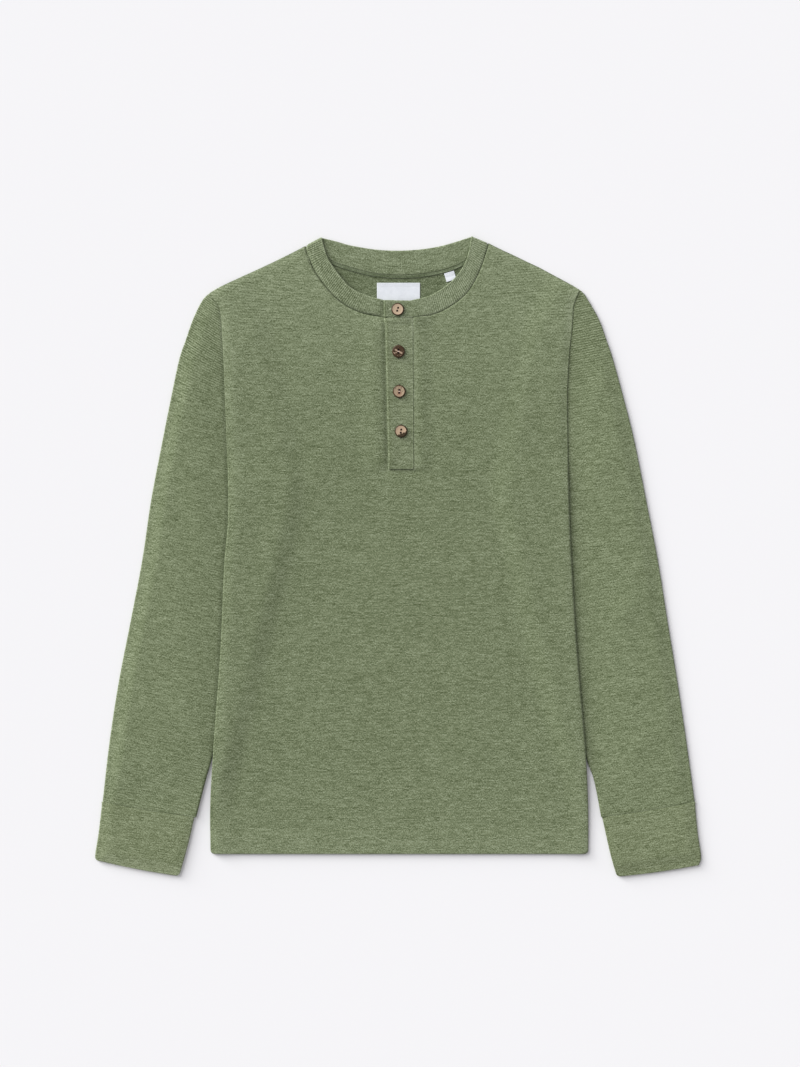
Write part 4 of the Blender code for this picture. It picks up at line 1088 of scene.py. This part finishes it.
start = FRONT_RIGHT[-1] + np.outer([UNDER_LAP, 0.5 * UNDER_LAP], [1.0, 0.0, 1.0, 0.0])
finish = np.vstack([FRONT_LEFT[::-1], [[PLACKET_TOP[0] + 1.2, NECK_FRONT, PLACKET_TOP[0] + 1.2, 299.4]]])
rise = LAP_RISE * ramp(finish[:, 0], PLACKET_TOP[1] + 34.0, PLACKET_TOP[1])
path = np.vstack([
    band_run(np.vstack([start, FRONT_RIGHT[:0:-1]]), FRONT_LEVEL, 1.0),
    band_roll(FRONT_RIGHT[0], 90.0, -90.0),
    band_run(BACK_LINE[-2:0:-1], 0.5 * BAND, -1.0),
    band_roll(FRONT_LEFT[-1], -90.0, 90.0),
    band_run(finish[1:], FRONT_LEVEL + rise[1:], 1.0)])
middle = 0.5 * (path[:, :3] + path[:, 3:6])
length = walked(middle)
band_length = float(length[-1])
stations = int(round(band_length / BAND_RIB_PITCH)) * RIB_STATIONS
run = np.linspace(0.0, band_length, stations + 1)
path = np.column_stack([np.interp(run, length, values) for values in path.T])
lap_end = LAP_LIFT * ramp(run, band_length - 10.0, band_length)
on_lap = ramp(path[:, 2], FRONT_LEVEL, FRONT_LEVEL + LAP_RISE)
path[:, 2] += lap_end
path[:, 5] += lap_end + FREE_LEAN * (1.0 - 0.85 * on_lap) * (0.5 + 0.5 * front_share(path[:, 2]))
print("the band is", round(band_length), "mm long, with", stations // RIB_STATIONS, "ribs")

# %% [markdown]
# The profile is a loop of shares: how far from the seam to the free edge, and how thick. Beside the lap the
# outside dips into the seam, deeper on the wearer's right, and just left of the lap's end the lower layer
# sinks into a trough. The painted light and shade follow the same shares: a painted pale rim, a painted dark
# seam, and ribs with painted pale ridges and dark grooves.

# %% The band's profile
PROFILE = np.array([
    # share of the way from the seam to the free edge, share of the half thickness
    (0.0, 0.2), (0.015, 0.5), (0.045, 0.72), (0.09, 0.88), (0.16, 0.98), (0.3, 1.04), (0.55, 1.04),
    (0.78, 1.0), (0.88, 1.04), (0.93, 1.08), (0.965, 0.98), (0.985, 0.72), (0.996, 0.38)])
SEAM_GAP = 0.35
BAND_HALF = 1.0
RIB_DEPTH = 0.42
LAP_TROUGH = 0.8
seam, free, facing = path[:, None, :3], path[:, None, 3:6], path[:, None, 6:]
facing = facing / np.linalg.norm(facing, axis=-1, keepdims=True)
seam = seam + SEAM_GAP * (free - seam) / np.linalg.norm(free - seam, axis=-1, keepdims=True)
across = free - seam
share, thick = PROFILE.T[:, None, :, None]
x, level, along_band = seam[..., :1], seam[..., 2:], run[:, None, None]
lies_front = front_share(level)
thick = np.where(share < 0.5, thick ** (0.5 + 0.5 * lies_front), thick)
open_rib = lies_front * (0.2 + 0.8 * ramp(np.abs(x + 2.0), 26.0, 66.0)) + 0.25 * (1 - lies_front)
groove = 0.5 - 0.5 * np.cos(TURN * along_band / BAND_RIB_PITCH)
half = BAND_HALF * thick - RIB_DEPTH * open_rib * groove * ramp(share, 0.0, 0.06) * ramp(share, 1.0, 0.9)
left_of_lap = PLACKET_TOP[0] - 0.3 - x
trough = LAP_TROUGH * ramp(left_of_lap, -1.5, -0.5) * ramp(left_of_lap, 6.5, 0.0)
trough = trough * ramp(np.abs(level - FRONT_LEVEL), 3.2, 2.8) * (along_band < 300.0)
off_lap = ramp(np.abs(x - PLACKET_TOP.mean()), 17.5, sided(x, 24.5, 33.5))
half = half + (1.0 - off_lap) * ramp(share, 0.1, 0.0) * 0.5 * BAND_HALF
dip = sided(x, 1.3, 0.45) * ramp(share, sided(x, 0.14, 0.06), 0.0) * lies_front * off_lap
band_face = seam + share * across + facing * (half - trough - dip)
band_back = seam + share * across - facing * (np.minimum(half, BAND_HALF * thick) + dip)
grid = np.concatenate([band_face, band_back[:, ::-1]], 1)
grid[..., 2] = np.maximum(grid[..., 2], 0.0)


def lip(end, before):
    """A last loop past an end of the strip, a little further on and half as thick."""
    centre = end.mean(0)
    return (centre + (end - centre) * np.array([1.0, 1.0, 0.5]) + 0.6 * (end - before))[None]


def ended(values, first=None, last=None):
    """Values along the band with one more for each lip, as a column."""
    values = values.reshape(-1)
    ends = [values[0] if first is None else first, values[-1] if last is None else last]
    return np.concatenate([ends[:1], values, ends[1:]])[:, None]


grid = np.concatenate([lip(grid[0], grid[1]), grid, lip(grid[-1], grid[-2])])
around = grid.shape[1]
shares = np.concatenate([share[0, :, 0], share[0, ::-1, 0]])
run_all = ended(run, -0.3, band_length + 0.3)
yarn = np.stack(np.broadcast_arrays(run_all, shares * ended(np.linalg.norm(across, axis=-1))), -1)
one = np.arange(around // 2 - 1)
cap = np.stack([one, one + 1, around - 2 - one, around - 1 - one], -1)
faces = np.vstack([quads_of(*grid.shape[:2], False, True), cap[:, ::-1], cap + (len(grid) - 1) * around])
# painted light and shade on the band: paler all over and on the wearer's left of the front; a rim along the
# free edge painted pale, and dark on the left; painted shade in the seam away from the lap, most on the
# right; painted light in the seam over the placket; painted light and shade on the ribs, most on the left;
# and a painted dark end to the lap
beside_lap, on_left = ended(off_lap), ended(ramp(x, 22.0, 34.0), 0.0, 0.0)
painted_rim_light = 0.9 * ramp(shares, 0.86, 0.92) * np.repeat([1.0, 0.0], around // 2)
painted_rib_light = ended((0.5 - groove) * open_rib * sided(x, 0.4, 4.4) * lies_front, 0.0, 0.0)
seam_shade = ended(sided(x, 0.7, 0.2), 1.0, 0.35) * ramp(shares, 0.1, 0.0) * beside_lap
painted_light_at_placket = ramp(shares, 0.08, 0.0) * (1.0 - beside_lap) * ended(ramp(x, 2.0, 5.0), 0.0, 0.0)
painted_band_light = 1.1 * on_left + painted_rim_light * (1.0 - 1.6 * on_left) - seam_shade + 2.2 * painted_light_at_placket
light_paint = (0.25 + painted_band_light * ended(lies_front) + painted_rib_light * ramp(shares, 0.92, 0.84)
        - 5.0 * ramp(run_all, band_length - 1.0, band_length))
band = piece("neckband_cloth", grid, faces, BAND_KNIT, yarn, 0.0, light_paint)
laid(band, "neckband", "rib", (round(band_length * MM, 3), 0.025), ["front_panel", "back_panel"])

# %% [markdown]
# ## The placket
#
# The slit in the front is finished with two facings. The under one fills the slit and carries the buttons.
# The upper one lies on top, is folded along its free edge, and is sewn down along its other side and its
# foot. Its free edge is only held by the buttons, so it stands a little off the cloth and throws a thin
# shadow, while the sewn side sinks into its seam. At the neck, the ends of the cloth inside make it thicker.

# %% The upper and the under placket
PLACKET_FULL = 1.6
PLACKET_WIDE = 30.0
TOP_ALLOWANCE = 6.0
FREE_LIFT = 1.1
LEAST_FACING = 0.45


def placket_grid(across_points, low_edge, high_edge, inset):
    """Plan points of a facing: across between its two leaning edges, drawn in by the inset, and up."""
    heights = steps_between(low_edge, high_edge, 1.6)
    left, right = placket_edge(heights, 0) + inset, placket_edge(heights, 1) - inset
    x = left[:, None] + across_points * (right - left)[:, None]
    return np.stack([x, np.repeat(heights[:, None], len(across_points), 1)], -1)


def placket_cloth(plan):
    """The facing's own yarn: its courses run across it, a little out of step with the front's."""
    return np.stack([plan[..., 0] + 211.0, plan[..., 1] + 0.02 * plan[..., 0] + 0.6], -1)


columns = steps_between(0.0, PLACKET_WIDE, 1.5) / PLACKET_WIDE
gap = PLACKET_LAP + SPACE
under_plan = placket_grid(columns, PLACKET_BOTTOM + gap, NECK_FRONT - 1.2 * SPACE, gap)
level = front_low(under_plan[..., 0], under_plan[..., 1])
facing = panel("under_placket_cloth", under_plan, level, level + KNIT, PLACKET_KNIT,
               placket_cloth(under_plan), 0.2)
laid(facing, "placket_under", "knit", (0.028, 0.174), ["back_panel"])

plan = placket_grid(columns, PLACKET_BOTTOM, NECK_FRONT - 0.5 * SPACE, 0.0)
x, y = plan[..., 0], plan[..., 1]
free, sewn = x - placket_edge(y, 0), placket_edge(y, 1) - x
foot, neck = y - PLACKET_BOTTOM, NECK_FRONT - y
top_end = ramp(neck, TOP_ALLOWANCE + 1.2, TOP_ALLOWANCE)
level = front_low(x, y) + KNIT + SPACE
lift = FREE_LIFT * ramp(free, 17.0, 0.0) * ramp(foot, 0.0, 12.0) * ramp(neck, 0.0, 10.0)
belly = 0.25 * ramp(free, 0.0, 9.0) * ramp(sewn, 0.0, 9.0) * ramp(foot, 0.0, 12.0)
half = 0.5 * (PLACKET_FULL + 0.9 * top_end * ramp(sewn, 0.0, 8.0) + belly)
share = rolled(np.minimum(0.7 * free, foot), 0.8, 0.25)
share = np.minimum(share, np.minimum(rolled(sewn, 0.5, 0.7), rolled(neck, 0.4, 0.85)))
low = np.maximum(level + lift + half * (1 - share), level + SEWN_RISE * beside_sewn_edge(x, y))
high = level + lift + half * (1 + share) - 0.4 * ramp(free, 2.8, 0.0) * ramp(foot, 0.0, 6.0)
high = np.maximum(high, low + LEAST_FACING)
# painted light and shade on the placket: a painted pale rim at the free edge, a painted dark line about 3 mm
# in from it, and painted light along the sewn edge and at the neck
light_paint = (faded(x, y) + 0.4 * ramp(free, 1.8, 0.0) + (0.7 + 1.8 * ramp(y, 256.0, 268.0)) * ramp(sewn, 2.0, 0.0)
        + 2.0 * ramp(neck, 1.6, 0.0) * ramp(x, 2.0, 5.0) - 1.9 * ramp(np.abs(free - 2.9), 2.4, 0.0))
drawn = np.stack([x + (1.2 - 1.3 * top_end) * (1.0 - free / PLACKET_WIDE), y], -1)
placket = panel("placket_cloth", drawn, low, high, PLACKET_KNIT, placket_cloth(plan), 0.2, None, light_paint)

# %% [markdown]
# ## Thread
#
# A stitch is a short length of thread that dives into the cloth at both ends. One stitch is worked out as a
# thin bent tube, and copies of it are laid along a line by adding whole arrays, so that a row of two hundred
# is one small mesh. A buttonhole is a ring of close stitches round a slot: a tube along a long oval, with a
# swelling for every turn of the thread.

# %% Thread finishes
def thread_finish(name, base):
    """Twisted polyester thread: a slight gloss, with fine dark turns along it."""
    made = finish_of(name, 0.5, sheen=0.2, specular=0.35)
    tufts = on_surface(made, "ShaderNodeTexCoord", "Object").noise(2400.0, 1.0)
    dark, light = (colour(*(share * shade for shade in base), DIMMED) for share in (0.72, 1.1))
    return covered(made, tufts.blend(dark, light), tufts, 0.6, 0.1)


GREEN_THREAD = thread_finish("green_thread", (186, 198, 160))
DARK_THREAD = thread_finish("dark_thread", (62, 64, 46))
TAPE_THREAD = thread_finish("tape_thread", (74, 85, 56))
WHITE_THREAD = thread_finish("white_thread", (232, 234, 238))
BROWN_THREAD = thread_finish("brown_thread", (44, 22, 15))


# %% Rows of stitches and buttonholes
def stitches(name, line, level, finish, step, radius, sides=6):
    """A row of stitches on a plan line. Each is a tube along one step, bowed up as one less the square of
    the way from its middle, and thinner toward its ends."""
    count = int(walked(line)[-1] / step)
    line = np.column_stack([line, np.full(len(line), level)])
    at = along(line, (np.arange(count) + 0.5) / count)
    ahead = along(line, np.minimum((np.arange(count) + 0.6) / count, 1.0))
    way = ((ahead - at) / np.linalg.norm(ahead - at, axis=1, keepdims=True))[:, None, None]
    beside = way[..., [1, 0, 2]] * [-1.0, 1.0, 0.0]
    reach, turn = np.linspace(-1.0, 1.0, 7)[:, None], np.arange(sides) * TURN / sides
    thick = radius * (1 - 0.45 * reach**2)
    rise = 0.75 * radius * (1 - 2.2 * reach**2) + thick * np.sin(turn)
    points = (at[:, None, None] + (0.41 * step * reach)[..., None] * way
              + (thick * np.cos(turn))[..., None] * beside + rise[..., None] * [0.0, 0.0, 1.0])
    per = len(reach) * sides
    caps = np.array([[0, 1, 2, 3], [0, 3, 4, 5]])
    faces = np.vstack([quads_of(len(reach), sides, False, True), caps, (caps + per - sides)[:, ::-1]])
    return piece(name, points, (faces + per * np.arange(count)[:, None, None]).reshape(-1, 4), finish)


def buttonhole(name, centre, level, length, upright, finish, spread=1.3, radius=0.55, turns=64):
    """A ring of close stitches: a tube along a long oval, whose radius swells once for every turn."""
    steps, sides = turns * 4, 8
    cosine, sine = (wave(np.arange(steps) * TURN / steps) for wave in (np.cos, np.sin))
    oval = np.column_stack([0.5 * length * np.sign(cosine) * np.abs(cosine) ** 0.45,
                            0.5 * spread * np.sign(sine) * np.abs(sine) ** 0.8])
    shares = np.linspace(0.0, 1.0, steps, endpoint=False)
    oval = along(np.vstack([oval, oval[:1]]), shares)
    way = np.roll(oval, -1, 0) - np.roll(oval, 1, 0)
    outward = (way[:, ::-1] * [1.0, -1.0] / np.hypot(*way.T)[:, None])[:, None]
    swell = radius * (0.86 + 0.14 * np.cos(TURN * turns * shares))[:, None]
    around = np.arange(sides) * TURN / sides
    plan = oval[:, None] + (swell * np.cos(around))[..., None] * outward
    plan = plan[..., ::-1] * [-1.0, 1.0] if upright else plan
    grid = np.dstack([plan + centre, level + 0.6 * swell * np.sin(around)])
    return piece(name, grid, quads_of(steps, sides, True, True), finish)


def level_at(surface, place):
    """The height of a surface at its point nearest to a place in the plan."""
    return float(surface[np.argmin(np.hypot(*(surface[:, :2] - place).T)), 2])


# %% The buttonholes
# the slot in the band lies across and off the button's centre, and the placket's slots stand upright
BAND_SLOT, BAND_OFFSET = 18.4, 0.9
PLACKET_SLOT = 16.4
SLOT_END = 8.0
band_top = band_face.reshape(-1, 3)
band_top = band_top[band_top[:, 2] > FRONT_LEVEL + BAND_HALF]
placket_top = np.dstack([plan, high]).reshape(-1, 3)
holes = []
for number, button in enumerate(BUTTONS):
    name, centre = f"buttonhole_{number + 1}", np.array([button["x"], button["y"]])
    if number == 0:
        centre = centre - [BAND_OFFSET, 0.0]
        top = level_at(band_top, centre + [SLOT_END, 0.0]) + 0.3
        holes.append(buttonhole(name, centre, top, BAND_SLOT, False, GREEN_THREAD))
    else:
        top = level_at(placket_top, centre + [0.0, SLOT_END]) + 0.05
        holes.append(buttonhole(name, centre, top, PLACKET_SLOT, True, DARK_THREAD))
laid(placket, "placket_top", "knit", (0.0335, 0.177), ["front_panel"], with_pieces=holes[1:])

# %% [markdown]
# ## Inside the neck
#
# The seam between the back and the band is covered by a narrow strip of the same cloth, sewn down along both
# edges, so that nothing scratches the neck. Below it lie two woven labels, one wide and one small. They are
# satin-woven tape with folded ends, and on this shirt they are left bare.

# %% The tape
TAPE_WIDTH = 3.6
TAPE_REACH = 84.0
TAPE_FULL = 0.75
TAPE_GAP = 0.15
seam_line = BACK_LINE[np.abs(BACK_LINE[:, 0]) < TAPE_REACH]
down = seam_line[:, :2] - seam_line[:, 2:]
down /= np.hypot(*down.T)[:, None]
seam_line = seam_line[:, :2]
shares = np.array([0.0, 0.05, 0.14, 0.3, 0.5, 0.7, 0.86, 0.95, 1.0])
plan = seam_line[:, None] + down[:, None] * (TAPE_GAP + TAPE_WIDTH * shares[:, None])
from_edge = TAPE_WIDTH * np.minimum(shares, 1 - shares)
level = np.full(plan.shape[:2], LAYER)
yarn = np.stack(np.broadcast_arrays(walked(seam_line)[:, None] + 400.0, TAPE_WIDTH * shares), -1)
# painted light on the tape: its middle is painted paler away from the centre back, between its darker edges
light_paint = 1.7 * ramp(np.abs(plan[..., 0]), 20.0, 42.0) * ramp(from_edge, 0.3, 0.8)
tape = panel("neck_tape_cloth", plan, level, level + TAPE_FULL * rolled(from_edge, 0.5, 0.25), TAPE_KNIT,
             yarn, 0.1, None, light_paint)
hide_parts("neck_tape")
rows = []
for number, off_seam in enumerate((0.5, TAPE_WIDTH - 0.35)):
    rows.append(stitches(f"tape_stitches_{number + 1}", seam_line + down * (TAPE_GAP + off_seam),
                         LAYER + 0.62 * TAPE_FULL + 0.1, TAPE_THREAD, 2.4, 0.2))
laid(back, "back_panel", "knit", (0.426, 0.700), ["the table"], area=0.255, with_pieces=[tape, *rows])


# %% The labels
def label_finish():
    """Satin-woven tape: white, with fine warp lines that dip where the weft ties them down."""
    made = finish_of("label_satin", 0.42, sheen=0.15, specular=0.4)
    x, y = on_surface(made, "ShaderNodeUVMap", 0, uv_map="cloth").parts()
    warp, weft = ((line * (TURN / (pitch * MM))).math("SINE") for line, pitch in ((x, 0.45), (x + y, 0.8)))
    weave = warp * 0.5 + weft * 0.5
    shade = (weave * 0.12).math("ADD", place(x, y, 3.0).noise(160.0, 2.0), use_clamp=True)
    return covered(made, shade.blend(colour(206, 210, 214), colour(224, 228, 232)), weave, 0.5, 0.06)


LABEL_SATIN = label_finish()
LABEL_EDGES = (0.15, 0.4, 0.8, 1.4)
LABEL_FULL = 0.3


def build_label(node_name, lean, sag):
    """A label from its frame solid: the box gives its size once the lean is taken out of it. The ends are
    folded under, so the cloth is thicker there, and the lower edge lifts a little."""
    low, high = (np.array(corner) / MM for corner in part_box(node_name))
    middle = 0.5 * (low + high)[:2]
    cosine, sine = math.cos(math.radians(lean)), math.sin(math.radians(lean))
    turn = np.array([[cosine, -sine], [sine, cosine]])
    width, height = np.linalg.solve(np.abs(turn), (high - low)[:2])
    flat = np.stack(np.meshgrid(*(steps_between(-0.5 * size, 0.5 * size, 1.0, LABEL_EDGES)
                                  for size in (width, height))), -1)
    beside, above = 0.5 * width - np.abs(flat[..., 0]), 0.5 * height - np.abs(flat[..., 1])
    sagged = sag * ramp(flat[..., 1], 0.0, -0.5 * height)
    bottom = low[2] + sagged + 0.12 * ramp(np.abs(flat[..., 0]), 8.0, 0.0)
    share = rolled(np.minimum(beside, above), 0.18, 0.35)
    top = bottom + (LABEL_FULL + 0.16 * ramp(above, 3.9, 3.2)) * share
    made = panel(node_name + "_satin", flat @ turn.T + middle, bottom, top, LABEL_SATIN, flat)
    seam = np.linspace([0.8 - 0.5 * width, 0.5 * height - 1.1], [0.5 * width - 0.8, 0.5 * height - 1.1], 40)
    row = stitches(node_name + "_stitches", seam @ turn.T + middle, low[2] + 0.5, WHITE_THREAD, 1.9, 0.14)
    laid(made, node_name, "label", (round(width * MM, 4), round(height * MM, 4)), ["back_panel"],
         with_pieces=[row])


build_label("main_label", 0.0, 0.0)
build_label("size_label", 17.0, 0.15)

# %% [markdown]
# ## Buttons
#
# The buttons are turned from coconut shell, which is hard, brown and never twice the same: pale where the
# lathe went deep, and dark where the husk is near. Along the rim they are dark too, partly the husk and
# partly painted shade on the edge. Some have a pale vein or a reddish core, and some a painted glint: a pale
# spot in the middle that stands for a highlight. Each is a profile spun round its own axis, with a rim, a
# dished face and two holes that open toward the face, each with its knot of thread. The holes are cut with a
# Boolean, since a drill makes them too.

# %% Shell, as a node group
tree, given = node_group("coconut_shell", Vector=["Place"], Color=["Pale", "Husk", "Core"],
                         Float=["Cover", "Lean", "Vein", "Core share", "Glint"])
x, y = (part / MM for part in given["Place"].parts())
reach = (x * x + y * y).math("SQRT")
grain = place(x * 0.16, y * 0.55).noise(1.0, 3.0)
specks = place(x * 0.9, y * 2.2, 8.0).noise(1.0, 2.0)
husk = (grain + x * given["Lean"] * 0.1 + (given["Cover"] - 0.5)).remap(0.53, 0.6)
# dark at the rim: the husk's own colour there, and painted shade on the edge
husk = husk.math("MAXIMUM", reach.remap(5.95, 6.3))
vein = (y + (specks - 0.5) * 2.0).math("ABSOLUTE").remap(1.3, 0.5) * given["Vein"] * reach.remap(5.4, 4.4)
husk = (husk - husk * vein).math("MAXIMUM", specks.remap(0.56, 0.68) * 0.45)
core_x, core_y = x + 2.2, y + 0.8
core = (core_x * core_x + core_y * core_y).math("SQRT").remap(3.8, 1.6) * given["Core share"]
# a painted glint: a pale spot in the middle that stands for a highlight
painted_glint = reach.remap(1.3, 0.5) * given["Glint"]
shell = core.blend(husk.blend(given["Pale"], given["Husk"]), given["Core"])
rings = (reach * (TURN / 0.45)).math("SINE")
node(tree, "NodeGroupOutput", {"Color": painted_glint.blend(shell, colour(226, 204, 190)),
                               "Height": rings * 0.15 + specks * 0.6})

# %% One finish for each button
SHELLS = [
    # pale, husk, cover, lean, vein, core share, painted glint, turn in degrees
    ((192, 169, 142), (58, 40, 22), 0.36, 0.0, 0.0, 0.0, 0.0, 20.0),
    ((188, 162, 138), (66, 48, 30), 0.69, 0.0, 0.8, 0.0, 0.7, -28.0),
    ((170, 150, 124), (68, 48, 30), 0.47, 0.1, 0.0, 0.5, 0.7, 70.0),
    ((188, 163, 136), (58, 46, 28), 0.18, 1.5, 0.0, 0.0, 0.0, -68.0),
]


def shell_finish(number, x, y):
    """Polished shell for one button, its grain centred on the button and turned its own way."""
    pale, husk, cover, lean, vein, core, painted_glint, turn = SHELLS[number]
    made = finish_of(f"shell_{number + 1}", 0.5, specular=0.2)
    own = on_surface(made, "ShaderNodeTexCoord", "Object")
    own = own.into("ShaderNodeMapping", {"Vector": own, "Location": (x * MM, y * MM, 0.0),
                                         "Rotation": (0.0, 0.0, math.radians(turn))}, vector_type="TEXTURE")
    return grouped(made, "coconut_shell", {
        "Place": own, "Pale": colour(*pale, 0.9), "Husk": colour(*husk, 0.9), "Cover": cover, "Lean": lean,
        "Vein": vein, "Core": colour(132, 74, 58, 0.9), "Core share": core, "Glint": painted_glint}, 0.5, 0.08)


# %% Turned buttons
def turned(name, profile, centre, finish, steps=72):
    """A profile of radii and heights spun round an upright axis, with flat ends."""
    turn = np.arange(steps) * TURN / steps
    radius, height = np.array(profile).T[:, :, None]
    points = np.dstack([radius * np.cos(turn), radius * np.sin(turn), height + 0 * turn]) + centre
    faces = quads_of(len(profile), steps, False, True).tolist()
    faces += [list(range(steps))[::-1], [(len(profile) - 1) * steps + corner for corner in range(steps)]]
    return add_object(name, points, faces, finish)


def drilled(blank, cutters):
    """The blank less its cutters, worked out and kept as a plain mesh."""
    for cutter in cutters:
        cut = blank.modifiers.new(cutter.name, "BOOLEAN")
        cut.operation, cut.solver, cut.object = "DIFFERENCE", "EXACT", cutter
    bpy.context.view_layer.update()
    result = bpy.data.meshes.new_from_object(blank.evaluated_get(bpy.context.evaluated_depsgraph_get()))
    blank.modifiers.clear()
    blank.data = result
    for cutter in cutters:
        bpy.data.objects.remove(cutter)
    result.shade_smooth()
    result.set_sharp_from_angle(angle=math.radians(38.0))
    return blank


# shares of a button's radius and height, and a thread knot's shares of the hole's radius and that height
BUTTON_PROFILE = np.array([
    (0.5, 0.0), (0.85, 0.08), (1.0, 0.2), (1.05, 0.34), (1.065, 0.48), (1.05, 0.62), (1.01, 0.76),
    (0.96, 0.9), (0.91, 0.98), (0.86, 1.0), (0.8, 0.985), (0.73, 0.95), (0.62, 0.92), (0.45, 0.9),
    (0.3, 0.9)])
KNOT_PROFILE = np.array([(0.4, 0.04), (0.9, 0.08), (0.97, 0.18), (0.9, 0.28), (0.4, 0.34)])
HOLE = 1.22
# the holes' offsets from each button's middle
HOLES_AT = [(0.55, 1.7), (0.0, 1.7), (0.0, 1.7), (0.3, 1.7)]
for number, button in enumerate(BUTTONS):
    node_name, centre, height = button["node"], np.array([button[axis] for axis in "xyz"]), button["height"]
    blank = turned(node_name + "_shell", BUTTON_PROFILE * [button["radius"], height], centre,
                   shell_finish(number, *centre[:2]))
    cutters = []
    for word, way in ((1, -1), (2, 1)):
        hole = centre + [way * HOLES_AT[number][0], way * HOLES_AT[number][1], 0.0]
        flare = [(HOLE, -1.0), (HOLE, 0.72 * height), (1.06 * HOLE, 0.84 * height),
                 (1.2 * HOLE, 0.92 * height), (1.3 * HOLE, height + 0.5)]
        cutters.append(turned(f"drill_{word}", flare, hole, None, 24))
        thread = turned(f"{node_name}_thread_{word}", KNOT_PROFILE * [HOLE, height], hole, BROWN_THREAD, 16)
        thread.data.shade_smooth()
        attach(thread, "root")
    made = drilled(blank, cutters)
    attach(made, "root")
    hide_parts(node_name)
    print(made.name, len(made.data.polygons), "faces")

# %% [markdown]
# ## The table, the light and the camera
#
# The shirt is looked at from straight above, as on a cutting table. The light is one wide soft source from
# the upper left and an even glow from all round, which leaves only short soft shadows on the right and below.

# %% Table, light and camera
TABLE_REACH = 3000.0
LIGHT_FROM = 140.0
LOOK_AT = (1.75 * MM, 27.4 * MM)
VIEW_TALL = 1.2452


def staged(name, data, place=(0.0, 0.0, 0.0)):
    """An object that isn't part of the shirt."""
    made = bpy.data.objects.new(name, data)
    made.location = place
    bpy.context.scene.collection.objects.link(made)
    return made


scene = bpy.context.scene
scene.view_settings.view_transform = "Standard"
scene.view_settings.look = "None"
table_finish = finish_of("table_finish", 0.9, specular=0.1)
shader_of(table_finish)["Base Color"].default_value = (0.8, 0.8, 0.8, 1.0)
corners = np.array([(-1.0, -1.0), (1.0, -1.0), (1.0, 1.0), (-1.0, 1.0)]) * TABLE_REACH
table = add_object("table", np.column_stack([corners, np.full(4, -0.2)]), [(0, 1, 2, 3)], table_finish)

for name, height, angle, energy in (("window", 28.0, 52.0, 3.28), ("low_window", 12.0, 20.0, 2.0)):
    sun = bpy.data.lights.new(name, "SUN")
    sun.energy = energy
    sun.angle = math.radians(angle)
    sun.color = (1.0, 0.998, 1.004)
    staged(name, sun).rotation_euler = (math.radians(90.0 - height), 0.0, math.radians(LIGHT_FROM + 90.0))
world = bpy.data.worlds.new("room")
world.use_nodes = True
glow = world.node_tree.nodes["Background"]
glow.inputs["Color"].default_value = (1.0, 0.985, 1.03, 1.0)
glow.inputs["Strength"].default_value = 0.53
scene.world = world

camera = bpy.data.cameras.new("camera")
camera.sensor_fit = "AUTO"
camera.sensor_width = 36.0
camera.lens = 100.0
scene.camera = staged("camera", camera, (*LOOK_AT, VIEW_TALL * camera.lens / camera.sensor_width))
print("camera", round(scene.camera.location.z, 3), "m above the table")
